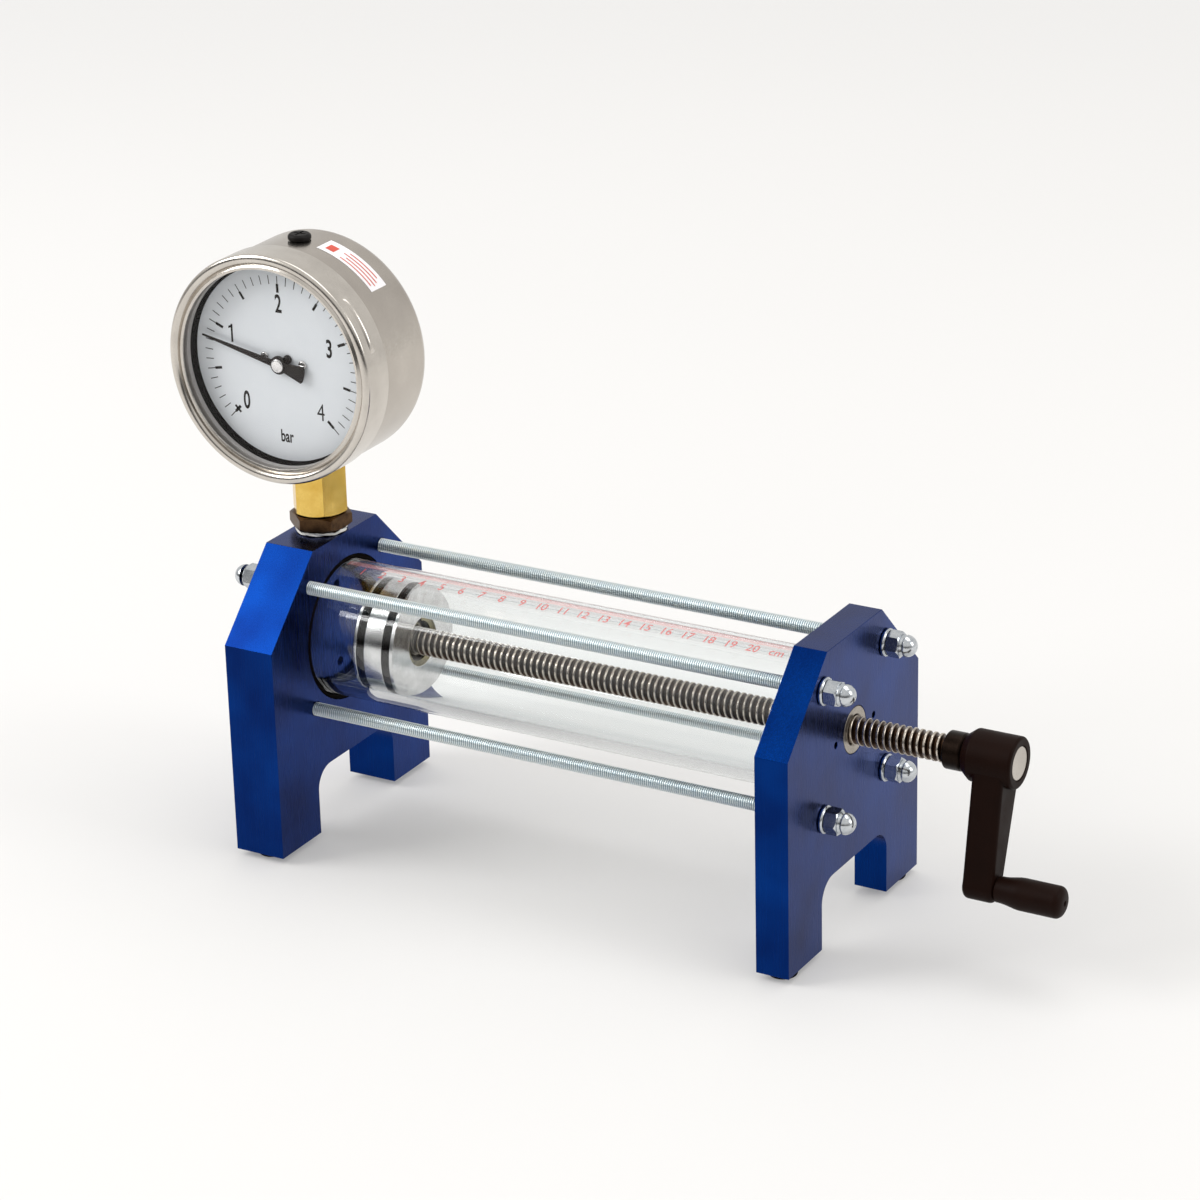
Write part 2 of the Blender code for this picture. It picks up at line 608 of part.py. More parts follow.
def fittings():
    """Gauge socket, reducer and thread tape, stacked on the gauge plate's top."""
    top = FOOT_HEIGHT + PLATE_HEIGHT
    centre = in_gauge(0, 0, 0)
    stack = Vector((centre.x, 0, top))
    ring("ptfe_tape", GAP, 0.0021, PORT_RADIUS + GAP, 0.0111, PTFE, stack, "Z")

    reducer_hex = hexagon(REDUCER_FLATS, -98)
    reducer = extruded("reducer_bushing", reducer_hex, 0.0024, 0.0086, BRONZE, stack, "Z")
    spigot = rod("reducer_spigot", 0.0005 - PORT_DEPTH, 0.004, PORT_RADIUS, BRONZE, stack, "Z")
    way = rod("reducer_way", -0.02, 0.02, AIR_WAY, BRONZE, stack, "Z")
    cut(join(reducer, spigot), way)

    hex_start = top + 0.0089 - GAUGE_HEIGHT
    hex_end = -CASE_RADIUS - 0.0008
    socket_hex = hexagon(SOCKET_FLATS, -50)
    socket = extruded("gauge_socket", socket_hex, hex_start, hex_end, BRASS, centre, "Z")
    neck = rod("socket_neck", hex_end - 0.001, -0.040, 0.0080, BRASS, centre, "Z")
    block_outline = [(-0.012, -0.045), (0.012, -0.045), (0.012, -0.034), (-0.012, -0.034)]
    block = extruded("socket_block", block_outline, -0.019, 0.0085, BRASS, centre, "Y")
    bore = rod("socket_way", -0.09, -0.040, AIR_WAY, BRASS, centre, "Z")
    cut(join(socket, neck, block), bore)


def tooth_points(centre_angle, pitch_radius, root_half, tip_half):
    """One straight-sided tooth across the pitch circle, with its half widths in degrees."""
    root = pitch_radius - TOOTH_BELOW_PITCH
    tip = pitch_radius + TOOTH_ABOVE_PITCH
    return [
        polar(root, centre_angle - math.radians(root_half)),
        polar(tip, centre_angle - math.radians(tip_half)),
        polar(tip, centre_angle + math.radians(tip_half)),
        polar(root, centre_angle + math.radians(root_half)),
    ]


def pointer_and_pinion():
    """The pointer rides on the pinion's arbor. One of the pinion's teeth points down at the sector."""
    at = in_gauge(0, 0, 0)
    blade = [(-0.0026, -0.0126), (0.0026, -0.0126), (0.0015, 0)]
    blade += [(0.0003, 0.0395), (-0.0003, 0.0395), (-0.0015, 0)]
    hub = [(-0.0272, 0), (-0.0272, 0.0026), (-0.0266, 0.0030)]
    hub += [(-0.0264, 0.0040), (-0.0248, 0.0040), (-0.0248, 0)]
    pointer = turned("pointer", hub, POINTER_BLACK, at, "Y")
    needle = extruded("pointer_blade", blade, -0.0262, -0.0255, POINTER_BLACK, at, "Y")
    socket = rod("pointer_bore", -0.0263, -0.02, PIVOT_RADIUS + GAP, POINTER_BLACK, at, "Y")
    cut(join(pointer, needle), socket)
    for piece in (pointer, needle, socket):
        piece.rotation_euler.y = POINTER_READING

    arbor = rod("pinion_arbor", -0.0260, -0.0067, PIVOT_RADIUS, BRASS, at, "Y")
    pitch = math.tau / PINION_TEETH
    outline = []
    for tooth in range(PINION_TEETH):
        outline += tooth_points(-math.pi / 2 + pitch * tooth, PINION_PITCH, 10, 4.5)
    join(arbor, extruded("pinion", outline, -0.0162, -0.0128, BRASS, at, "Y"))


def sector_gear():
    """A toothed sector on its own arbor below the pinion, with a tail that the link pulls."""
    at = in_gauge(0, 0, -(PINION_PITCH + SECTOR_PITCH))
    pitch = math.tau / SECTOR_TEETH
    outline = []
    for tooth in reversed(range(-8, 4)):
        angle = math.pi / 2 + pitch * (tooth + 0.5)
        outline += reversed(tooth_points(angle, SECTOR_PITCH, 1.1, 0.5))
    outline += [(0.0028, 0.0030), (-0.0028, 0.0030)]
    gear = extruded("sector_gear", outline, -0.0154, -0.0140, BRASS, at, "Y")
    hub = rod("sector_hub", -0.0154, -0.0140, 0.0045, BRASS, at, "Y")
    arbor = rod("sector_arbor", -0.0202, -0.0067, PIVOT_RADIUS, BRASS, at, "Y")
    tail = capsule((0, 0), polar(TAIL_LENGTH, TAIL_ANGLE), 0.0024, 8)
    tail = extruded("sector_tail", tail, -0.0154, -0.0140, BRASS, at, "Y")
    end = at + Vector((TAIL_LENGTH * math.cos(TAIL_ANGLE), 0, TAIL_LENGTH * math.sin(TAIL_ANGLE)))
    pin = rod("sector_tail_pin", -0.0145, -0.0118, LINK_PIN, BRASS, end, "Y")
    join(gear, hub, tail, arbor, pin)
    return end


def capsule(start, end, radius, steps):
    """A bar's outline with a round end about each of its two centres."""
    heading = math.degrees(math.atan2(end[1] - start[1], end[0] - start[0]))
    first = arc(start, radius, heading + 90, heading + 270, steps)
    return first + arc(end, radius, heading - 90, heading + 90, steps)


def link_and_bourdon(tail_end):
    """The link runs from the sector's tail to the pin on the tube's tip, where a slot leaves it room."""
    centre = in_gauge(0, 0, 0)
    tip = polar(BOURDON_RADIUS, TIP_ANGLE)
    reach = Vector((centre.x + tip[0] - tail_end.x, centre.z + tip[1] - tail_end.z))
    along = reach.normalized()
    eye_hole = rod("link_eye", -0.02, -0.01, LINK_PIN + GAP, BRASS, tail_end, "Y")
    slot_ends = [tuple(along * (reach.length + shift)) for shift in (-0.0037, 0.0012)]
    bar_end = along * (reach.length + 0.0012)
    bar_outline = capsule((0, 0), tuple(bar_end), 0.0022, 6)
    bar = extruded("link_bar", bar_outline, -0.0137, -0.0127, BRASS, tail_end, "Y")
    slot_outline = capsule(*slot_ends, LINK_PIN + 0.0004, 6)
    slot = extruded("link_slot", slot_outline, -0.02, -0.01, BRASS, tail_end, "Y")
    cut(bar, eye_hole, slot)

    thick = 0.002
    bend = arc((0, 0), BOURDON_RADIUS + thick, 250, -8, 40)
    bend += arc((0, 0), BOURDON_RADIUS - thick, -8, 250, 40)
    tube = extruded("bourdon_tube", bend, -0.0182, -0.0082, BRASS, centre, "Y")
    tip_bend = arc((0, 0), BOURDON_RADIUS + thick, -5, -27, 4)
    tip_bend += arc((0, 0), BOURDON_RADIUS - thick, -27, -5, 4)
    tip_block = extruded("bourdon_tip", tip_bend, -0.0170, -0.0144, BRASS, centre, "Y")
    pin_at = centre + Vector((tip[0], 0, tip[1]))
    pin = rod("bourdon_tip_pin", -0.0150, -0.0120, LINK_PIN, BRASS, pin_at, "Y")
    join(tube, tip_block, pin)


def movement_plates():
    """Two plates held apart by pillars, with bearings for the pinion's and the sector's arbors."""
    centre = in_gauge(0, 0, 0)
    pivots = ((0, 0), (0, -(PINION_PITCH + SECTOR_PITCH)))
    outline = [(-0.011, -0.0337), (0.011, -0.0337), (0.011, -0.004)]
    outline += [(0.006, 0.010), (-0.006, 0.010), (-0.011, -0.004)]
    plates = {}
    for name, near, far in (
        ("movement_front_plate", -0.0206, -0.0191),
        ("movement_back_plate", -0.0080, -0.0065),
    ):
        plate = extruded(name, outline, near, far, BRASS, centre, "Y")
        for number, (x, z) in enumerate(pivots, 1):
            at = centre + Vector((x, 0, z))
            cut(plate, rod(f"{name}_pivot_{number}", -0.03, 0, PIVOT_RADIUS + GAP, BRASS, at, "Y"))
        plates[name] = plate
    for number, (x, z) in enumerate(((-0.008, -0.031), (0.008, -0.031), (0, 0.007)), 1):
        at = centre + Vector((x, 0, z))
        pillar = rod(f"movement_pillar_{number}", -0.0188, -0.0070, 0.0015, BRASS, at, "Y")
        join(plates["movement_back_plate"], pillar)


clear_scene()
gauge_plate()
crank_plate()
feet()
cylinder()
scale_film()
tie_rods()
piston()
spindle()
crank()
gauge_case()
bezel_and_window()
vent_plug()
fittings()
pointer_and_pinion()
link_and_bourdon(sector_gear())
movement_plates()
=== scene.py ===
# %% [markdown]
# # A bench gas-law pump, finished for rendering
# A crank turns a screw, the screw pushes a piston along a clear tube, and a gauge reads the pressure.
# The engineering model gives every piece its place and its motion. This lesson gives each piece its
# fine shape and its finish, one cell at a time, and hangs it on the body that it moves with.

# %% Load the engineering model
import math

import bmesh
import bpy
from mathutils import Matrix, Vector


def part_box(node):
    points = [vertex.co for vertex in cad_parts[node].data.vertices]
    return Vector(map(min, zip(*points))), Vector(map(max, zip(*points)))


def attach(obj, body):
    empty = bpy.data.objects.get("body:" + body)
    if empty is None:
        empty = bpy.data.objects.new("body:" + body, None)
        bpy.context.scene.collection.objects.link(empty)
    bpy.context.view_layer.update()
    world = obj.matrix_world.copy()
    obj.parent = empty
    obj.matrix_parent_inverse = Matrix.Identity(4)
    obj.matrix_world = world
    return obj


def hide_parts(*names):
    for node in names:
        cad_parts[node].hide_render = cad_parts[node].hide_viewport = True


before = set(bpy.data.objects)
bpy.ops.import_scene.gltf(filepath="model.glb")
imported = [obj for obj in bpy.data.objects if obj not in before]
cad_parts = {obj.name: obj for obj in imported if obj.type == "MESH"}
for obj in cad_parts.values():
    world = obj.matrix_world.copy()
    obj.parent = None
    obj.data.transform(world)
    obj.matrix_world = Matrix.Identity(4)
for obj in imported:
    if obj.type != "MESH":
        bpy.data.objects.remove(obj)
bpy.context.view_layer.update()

MM = 0.001


def corners(node):
    """The lowest and highest corner of a node, in millimetres."""
    low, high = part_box(node)
    return low / MM, high / MM


tube_low, tube_high = corners("cylinder_tube")
AXIS = (tube_low + tube_high) / 2
gauge_plate_low, gauge_plate_high = corners("gauge_plate")
crank_plate_low = corners("crank_plate")[0]
INNER_FACE = gauge_plate_high.x
print("cylinder axis height, mm:", round(AXIS.z, 2))

# %% [markdown]
# ## The camera
# A long lens from in front, to the right and above. The further away a camera stands, the less the
# near end of a long object grows, so the distance matters as much as the direction.

# %% Camera
CAMERA_TARGET = Vector((-0.01466, 0, 0.12556))
CAMERA_AZIMUTH = math.radians(30.254)
CAMERA_ELEVATION = math.radians(22.176)
CAMERA_DISTANCE = 1.6728
CAMERA_ROLL = math.radians(-1.417)

back = Vector((
    math.sin(CAMERA_AZIMUTH) * math.cos(CAMERA_ELEVATION),
    -math.cos(CAMERA_AZIMUTH) * math.cos(CAMERA_ELEVATION),
    math.sin(CAMERA_ELEVATION),
))
camera = bpy.data.objects.new("camera", bpy.data.cameras.new("camera"))
camera.data.sensor_width = 36
camera.data.lens = 119.8
camera.data.clip_end = 60
facing = (-back).to_track_quat("-Z", "Y").to_matrix().to_4x4()
camera.matrix_world = (
    Matrix.Translation(CAMERA_TARGET + back * CAMERA_DISTANCE) @ facing @ Matrix.Rotation(CAMERA_ROLL, 4, "Z")
)
bpy.context.scene.collection.objects.link(camera)
bpy.context.scene.camera = camera
bpy.context.scene.view_settings.view_transform = "Standard"
print("camera at, mm:", [round(value / MM) for value in camera.location])

# %% [markdown]
# ## Colours and nodes
# Colours are written as sRGB hex values, the way a colour picker shows them. Shaders work in linear
# light, so one function turns them. One more function adds any node with its settings and its links.


# %% Colour and node helpers
def colour(hexadecimal):
    """An sRGB hex value as linear red, green, blue and alpha."""
    parts = [int(hexadecimal[place:place + 2], 16) / 255 for place in (0, 2, 4)]
    return (*(part / 12.92 if part <= 0.04045 else ((part + 0.055) / 1.055) ** 2.4 for part in parts), 1)


def add(tree, kind, inputs=None, **settings):
    """Adds a node. An input takes a value, or another node's output to link to."""
    node = tree.nodes.new("ShaderNode" + kind)
    for name, value in settings.items():
        setattr(node, name, value)
    for name, value in (inputs or {}).items():
        if isinstance(value, bpy.types.NodeSocket):
            tree.links.new(value, node.inputs[name])
        else:
            node.inputs[name].default_value = value
    return node


def per(millimetres):
    """The texture scale that makes one pattern step this long, because object space is in metres."""
    return 1 / (millimetres * MM)


def start_material(name):
    """A new material: its node tree, its shader, and the object's own coordinates."""
    made = bpy.data.materials.new(name)
    made.use_nodes = True
    tree = made.node_tree
    return made, tree, tree.nodes["Principled BSDF"], add(tree, "TexCoord").outputs["Object"]


def fill(shader, **values):
    """Sets the shader's own sockets: metallic=1 sets Metallic, coat_weight=1 sets Coat Weight."""
    for name, value in values.items():
        shader.inputs[name.replace("_", " ").title().replace("Ior", "IOR")].default_value = value


print("sRGB 808080 in linear light:", round(colour("808080")[0], 3))

# %% [markdown]
# ## The studio
# The real setting is a white sweep under large soft lights. Metal shows what stands around it, so the
# world isn't one flat grey: it is bright overhead and behind, and dim near the horizon in front, where
# the room is. That is what draws the dark bands on the domed nuts. Rays straight from the camera see an
# even pale backdrop instead. The left light stands far to the side: from further in front, the tube
# would mirror it right across the screw.

# %% World
world = bpy.data.worlds.new("studio")
bpy.context.scene.world = world
world.use_nodes = True
tree = world.node_tree
direction = add(tree, "TexCoord").outputs["Generated"]
parts = add(tree, "SeparateXYZ", {0: direction})
height = add(tree, "MapRange", {0: parts.outputs["Z"], 1: 0.08, 2: 0.42, 3: 0.0, 4: 1.0})
front = add(tree, "MapRange", {0: parts.outputs["Y"], 1: 0.3, 2: -0.75, 3: 1.0, 4: 0.0})
lit = add(tree, "Math", {0: height.outputs[0], 1: front.outputs[0]}, operation="MAXIMUM")
around = add(
    tree, "Mix", {0: lit.outputs[0], 6: colour("3A3A3B"), 7: colour("E9E8E6")}, data_type="RGBA"
)
seen = add(tree, "LightPath").outputs["Is Camera Ray"]
backdrop = add(tree, "Mix", {0: seen, 6: around.outputs[2], 7: colour("F3F2F1")}, data_type="RGBA")
tree.links.new(backdrop.outputs[2], tree.nodes["Background"].inputs["Color"])
print("world nodes:", len(tree.nodes))


# %% Lights
def softbox(name, at, towards, size, watts):
    """A rectangular area light, aimed at a point. Places and sizes are in metres."""
    light = bpy.data.lights.new(name, "AREA")
    light.shape = "RECTANGLE"
    light.size, light.size_y = size
    light.energy = watts
    made = bpy.data.objects.new(name, light)
    made.location = at
    made.rotation_euler = (Vector(towards) - Vector(at)).to_track_quat("-Z", "Y").to_euler()
    bpy.context.scene.collection.objects.link(made)


softbox("softbox_left", (-2.1, -1.35, 1.75), (-0.05, 0, 0.12), (1.5, 1.5), 46)
softbox("softbox_top", (0.2, 0.5, 2.4), (0, 0, 0.1), (2.2, 1.2), 15)
softbox("softbox_right", (2.3, 0.3, 1.3), (0, 0, 0.1), (0.9, 1.2), 13)

# %% [markdown]
# ## Finishes
# Each finish below is named for the real material and the way its surface was made.

# %% [markdown]
# ### Blue anodised aluminium
# Milled plate, etched and dyed blue under a hard clear oxide layer. The dye tints the metal's own
# reflection, and the oxide adds a faint white one on top that grows at a flat angle. That second
# reflection is the shader's coat. The mill leaves straight feed lines down each face.

# %% Blue anodised aluminium
FEED_LINES = 0.9
anodised, tree, shader, place = start_material("blue_anodised_aluminium")
fill(shader, metallic=1.0, coat_weight=0.03, coat_roughness=0.2, coat_ior=1.6)
feed = add(tree, "Mapping", {0: place, 3: (per(FEED_LINES), per(FEED_LINES), per(60))}, vector_type="POINT")
lines = add(tree, "TexNoise", {0: feed.outputs[0], "Scale": 1.0, "Detail": 3.0, "Roughness": 0.6})
cloud = add(tree, "TexNoise", {0: place, "Scale": per(30), "Detail": 2.0})
faint = add(tree, "Math", {0: lines.outputs[0], 1: 0.1, 2: 0.0}, operation="MULTIPLY_ADD")
both = add(tree, "Math", {0: cloud.outputs[0], 1: 0.9, 2: faint.outputs[0]}, operation="MULTIPLY_ADD")
shade = add(tree, "MapRange", {0: both.outputs[0], 1: 0.3, 2: 0.7, 3: 0.0, 4: 1.0})
blue = add(tree, "Mix", {0: shade.outputs[0], 6: colour("001F5C"), 7: colour("003079")}, data_type="RGBA")
tree.links.new(blue.outputs[2], shader.inputs["Base Color"])
satin = add(tree, "MapRange", {0: lines.outputs[0], 1: 0.3, 2: 0.7, 3: 0.22, 4: 0.3})
tree.links.new(satin.outputs[0], shader.inputs["Roughness"])
bumps = add(tree, "Bump", {"Height": lines.outputs[0], "Distance": 0.000003, "Strength": 0.08})
tree.links.new(bumps.outputs[0], shader.inputs["Normal"])
# The real lines are about 0.3 mm apart, too fine to show, so they are drawn three times as coarse.
print(anodised.name, "feed lines", FEED_LINES, "mm apart")

# %% [markdown]
# ### Clear acrylic
# Cast acrylic tube, polished. It bends light with an index of 1.49, so the far side shows through
# the near side with a second, shifted image along the edges.

# %% Clear acrylic
acrylic, tree, shader, place = start_material("clear_cast_acrylic")
fill(shader, base_color=colour("FBFDFD"), transmission_weight=1.0, ior=1.49)
haze = add(tree, "TexNoise", {0: place, "Scale": per(25), "Detail": 3.0})
polish = add(tree, "MapRange", {0: haze.outputs[0], 1: 0.35, 2: 0.75, 3: 0.0, 4: 0.012})
tree.links.new(polish.outputs[0], shader.inputs["Roughness"])
print(acrylic.name, "IOR 1.49")

# %% [markdown]
# ### Clear film
# The measuring strip is a thin clear film stuck on the tube. A film this thin hardly bends light, so
# it is drawn see-through with a glossy coat: the eye finds it by its faint edges and its print.

# %% Clear film and its red print
film_clear, tree, shader, place = start_material("clear_polyester_film")
fill(shader, base_color=colour("F4F2F2"), roughness=0.08, alpha=0.05)
dust = add(tree, "TexNoise", {0: place, "Scale": per(6), "Detail": 4.0})
film_gloss = add(tree, "MapRange", {0: dust.outputs[0], 1: 0.3, 2: 0.7, 3: 0.05, 4: 0.16})
tree.links.new(film_gloss.outputs[0], shader.inputs["Roughness"])

red_ink, tree, shader, place = start_material("red_screen_print")
fill(shader, roughness=0.45, alpha=0.8)
mottle = add(tree, "TexNoise", {0: place, "Scale": per(0.4), "Detail": 2.0})
red = add(tree, "Mix", {0: mottle.outputs[0], 6: colour("C94A48"), 7: colour("DD6A66")}, data_type="RGBA")
tree.links.new(red.outputs[2], shader.inputs["Base Color"])

pink_tint, tree, shader, place = start_material("pale_red_print_band")
fill(shader, roughness=0.4, alpha=0.36)
screen = add(tree, "TexNoise", {0: place, "Scale": per(0.7), "Detail": 2.0})
pink = add(tree, "Mix", {0: screen.outputs[0], 6: colour("E89A96"), 7: colour("F0B4B0")}, data_type="RGBA")
tree.links.new(pink.outputs[2], shader.inputs["Base Color"])
print("film finishes:", film_clear.name, red_ink.name, pink_tint.name)


# %% [markdown]
# ### Metals
# Bare and plated metals differ in colour, in how sharp they reflect, and in the marks of the tool
# that made them. The same few nodes serve them all: a cloudy noise moves the colour between two
# close tones and the roughness between two values, and a stretched noise draws the tool marks.

# %% Metal finishes
def metal(name, dark, light, smooth, rough, grain, stretch=(1, 1, 1), depth=0.000004, cloudy=8.0):
    """A metal whose tone and roughness wander, with tool marks this many millimetres apart."""
    made, tree, shader, place = start_material(name)
    fill(shader, metallic=1.0)
    marks_at = add(tree, "Mapping", {0: place, 3: tuple(per(grain) * part for part in stretch)})
    marks = add(tree, "TexNoise", {0: marks_at.outputs[0], "Scale": 1.0, "Detail": 3.0, "Roughness": 0.6})
    patches = add(tree, "TexNoise", {0: place, "Scale": per(cloudy), "Detail": 3.0})
    both = add(tree, "Math", {0: marks.outputs[0], 1: patches.outputs[0]}, operation="ADD")
    amount = add(tree, "MapRange", {0: both.outputs[0], 1: 0.7, 2: 1.3, 3: 0.0, 4: 1.0})
    tone = add(tree, "Mix", {0: amount.outputs[0], 6: colour(dark), 7: colour(light)}, data_type="RGBA")
    tree.links.new(tone.outputs[2], shader.inputs["Base Color"])
    polish = add(tree, "MapRange", {0: both.outputs[0], 1: 0.7, 2: 1.3, 3: smooth, 4: rough})
    tree.links.new(polish.outputs[0], shader.inputs["Roughness"])
    bumps = add(tree, "Bump", {"Height": marks.outputs[0], "Distance": depth, "Strength": 0.5})
    tree.links.new(bumps.outputs[0], shader.inputs["Normal"])
    return made


# Bright zinc plate on nuts and washers: a cool, slightly blurred mirror.
nut_zinc = metal("bright_zinc_plate", "B4BAC0", "D2D5D8", 0.13, 0.22, 0.8, cloudy=4.0)
# Rolled and ground steel, lightly oiled: a warm grey that reflects in soft streaks.
ground_steel = metal("ground_steel", "8E867C", "B9B2A8", 0.24, 0.36, 0.35, (8, 1, 1))
# Chemically blackened steel: dark brown-black with a soft oily shine.
blackened_steel = metal("blackened_steel", "17110E", "261D18", 0.3, 0.42, 0.6)
# Spring clip with a yellow passivated zinc plate.
yellow_zinc = metal("yellow_passivated_zinc", "6E6648", "A79E7C", 0.25, 0.4, 0.6)
# Faced on a lathe: bright, with rings round the axis.
turned_aluminium = metal("lathe_turned_aluminium", "C8C6C6", "F0EFEF", 0.16, 0.28, 0.35, (6, 1, 1), 0.000008)
# Deep drawn stainless, satin brushed round the case.
satin_stainless = metal("satin_stainless", "ADA69E", "C7C0B7", 0.2, 0.28, 0.5, (1, 8, 1), 0.000004, 30.0)
# Rolled bezel, polished brighter than the case.
bezel_stainless = metal("polished_stainless", "BFB9B1", "D4CEC6", 0.16, 0.24, 0.8, (1, 8, 1), 0.000003, 12.0)
# Free-cutting brass, machined and left bright.
machined_brass = metal("machined_brass", "CCA244", "EDCB72", 0.16, 0.28, 0.5, (1, 1, 5))
# Brass fitting gone dark with age and pipe sealant.
aged_bronze = metal("dark_aged_bronze", "33241A", "6B5036", 0.28, 0.45, 0.7, (1, 1, 4), cloudy=3.0)
print("metals:", 9)

# %% [markdown]
# ### Threaded metal
# A thread's grooves are painted darker than its crests: painted shade, because a thread this fine can't shade
# itself at this size. On the lead screw the dark grooves are also old brown grease. Distance from the piece's
# own axis tells crest from groove, so the colour needs no map: it follows the radius.


# %% Threaded finishes
def threaded_metal(name, groove_radius, crest_radius, groove_tones, crest_tones, smooth, rough):
    """A metal that changes from groove to crest with the distance from its own X axis, in millimetres."""
    made, tree, shader, place = start_material(name)
    fill(shader, metallic=1.0)
    across = add(tree, "VectorMath", {0: place, 1: (0, 1, 1)}, operation="MULTIPLY")
    out = add(tree, "VectorMath", {0: across.outputs[0]}, operation="LENGTH").outputs["Value"]
    limits = {1: groove_radius * MM, 2: crest_radius * MM}
    # The crest mask paints the grooves darker than the crests: painted shade.
    crest = add(tree, "MapRange", {0: out, **limits, 3: 0.0, 4: 1.0})
    patches = add(tree, "TexNoise", {0: place, "Scale": per(2.5), "Detail": 3.0}).outputs[0]
    tones = [
        add(tree, "Mix", {0: patches, 6: colour(dark), 7: colour(light)}, data_type="RGBA").outputs[2]
        for dark, light in (groove_tones, crest_tones)
    ]
    tone = add(tree, "Mix", {0: crest.outputs[0], 6: tones[0], 7: tones[1]}, data_type="RGBA")
    tree.links.new(tone.outputs[2], shader.inputs["Base Color"])
    polish = add(tree, "MapRange", {0: crest.outputs[0], 3: rough, 4: smooth})
    tree.links.new(polish.outputs[0], shader.inputs["Roughness"])
    return made


SCREW_OUTER = 6.0
SCREW_ROOT = 4.3
M6_CREST = 3.0
M6_ROOT = 2.42
# Old brown grease, with the grooves also painted darker as painted shade.
screw_steel = threaded_metal(
    "greased_screw_steel_with_painted_groove_shade", SCREW_OUTER - 0.4, SCREW_OUTER - 0.04,
    ("1A0F09", "574233"), ("B9AD9F", "D8D0C5"), 0.24, 0.36,
)
# Bright zinc with a faint yellow passivation in places, its grooves painted darker as painted shade.
rod_zinc = threaded_metal(
    "zinc_plated_thread", M6_ROOT + 0.2, M6_CREST - 0.12,
    ("9DB1BD", "B4C0C3"), ("E6F3FB", "F8F7EE"), 0.38, 0.52,
)
print("threads:", screw_steel.name, rod_zinc.name)


# %% [markdown]
# ### Plastics, rubber and tape
# These aren't metals: light goes in a little way and comes back with the material's own colour, and
# the surface adds a clear shine. A fine grain keeps the shine from looking like wet paint.

# %% Moulded finishes
def moulded(name, dark, light, smooth, rough, grain, depth=0.00001, **values):
    """A plastic or rubber whose tone wanders, with a moulded grain this many millimetres across."""
    made, tree, shader, place = start_material(name)
    fill(shader, **values)
    grains = add(tree, "TexNoise", {0: place, "Scale": per(grain), "Detail": 4.0, "Roughness": 0.6})
    wear = add(tree, "TexNoise", {0: place, "Scale": per(11), "Detail": 3.0})
    tone = add(tree, "Mix", {0: wear.outputs[0], 6: colour(dark), 7: colour(light)}, data_type="RGBA")
    tree.links.new(tone.outputs[2], shader.inputs["Base Color"])
    gloss = add(tree, "MapRange", {0: wear.outputs[0], 1: 0.3, 2: 0.7, 3: smooth, 4: rough})
    tree.links.new(gloss.outputs[0], shader.inputs["Roughness"])
    bumps = add(tree, "Bump", {"Height": grains.outputs[0], "Distance": depth, "Strength": 0.6})
    tree.links.new(bumps.outputs[0], shader.inputs["Normal"])
    return made


# Nitrile rubber: nearly black, dull, a little shine where it is squeezed.
nitrile_rubber = moulded("black_nitrile_rubber", "070505", "120E0D", 0.42, 0.6, 0.25, specular_ior_level=0.2)
# The same rubber, unpolished, where it is hardly lit.
matt_rubber = moulded("matt_black_rubber", "090605", "130E0C", 0.8, 0.95, 0.3, specular_ior_level=0.04)
# Black-brown phenolic, moulded with a fine spark-eroded texture that scatters the shine.
phenolic = moulded("black_phenolic", "120603", "1D0D07", 0.4, 0.52, 0.35, 0.00003, specular_ior_level=0.06)
# Polyacetal grip: the same black-brown, with a softer shine.
grip_plastic = moulded("black_acetal", "130704", "1E0E08", 0.4, 0.52, 0.5, 0.00001, specular_ior_level=0.07)
# White thread tape: unsintered, so it scatters light like paper.
thread_tape = moulded("white_ptfe_tape", "D9D8D2", "F4F3EF", 0.5, 0.65, 0.6, 0.00008)
# White enamel dial, very slightly blue.
dial_enamel = moulded("white_enamel", "E6EBF0", "EDF1F5", 0.4, 0.5, 0.2, 0.000002)
# Black printing ink and black paint.
black_ink = moulded(
    "black_printing_ink", "140E0C", "1E1714", 0.5, 0.6, 0.2, 0.000002, specular_ior_level=0.25
)
pointer_paint = moulded(
    "black_pointer_paint", "140E0C", "221A17", 0.45, 0.55, 0.3, 0.000004, specular_ior_level=0.3
)
# Gloss paper label and its red ink.
label_paper = moulded("white_gloss_label", "F1EEF0", "FAF7F9", 0.25, 0.35, 0.3, 0.000003)
label_ink = moulded("red_label_ink", "CC3A28", "D9604A", 0.4, 0.5, 0.3, 0.000002)
# Grey gasket lip and the painted wall inside the gauge.
gauge_lining = moulded("grey_lining", "A5A19F", "BAB6B3", 0.5, 0.6, 0.5, 0.00001)
print("moulded and printed finishes:", 11)

# %% [markdown]
# ### Instrument glass
# A flat float-glass disc. Its two sides are parallel, so it hardly bends what is behind it and is told
# by its reflections. It is drawn as a clear sheet that is only as solid as its mirror image is strong,
# which lets the light through to the dial without the noise of real refraction.

# %% Instrument glass
window_glass, tree, shader, place = start_material("float_glass")
fill(shader, base_color=colour("FFFFFF"), metallic=1.0)
slant = add(tree, "LayerWeight", {"Blend": 0.5}).outputs["Facing"]
mirror = add(tree, "MapRange", {0: slant, 1: 0.35, 2: 1.0, 3: 0.008, 4: 0.6}, interpolation_type="SMOOTHSTEP")
tree.links.new(mirror.outputs[0], shader.inputs["Alpha"])
smears = add(tree, "TexNoise", {0: place, "Scale": per(18), "Detail": 3.0})
wiped = add(tree, "MapRange", {0: smears.outputs[0], 1: 0.45, 2: 0.8, 3: 0.02, 4: 0.08})
tree.links.new(wiped.outputs[0], shader.inputs["Roughness"])
print(window_glass.name, "clear when faced, a mirror at a flat angle")

# %% [markdown]
# ## Tools for the shapes
# Nearly everything here was turned on a lathe or milled from bar, so two tools make most pieces: one
# spins a section round an axis, the other pushes an outline along one. Real edges are never sharp.
# A turned section gets its corners rounded before it is spun, and a milled piece gets a bevel.


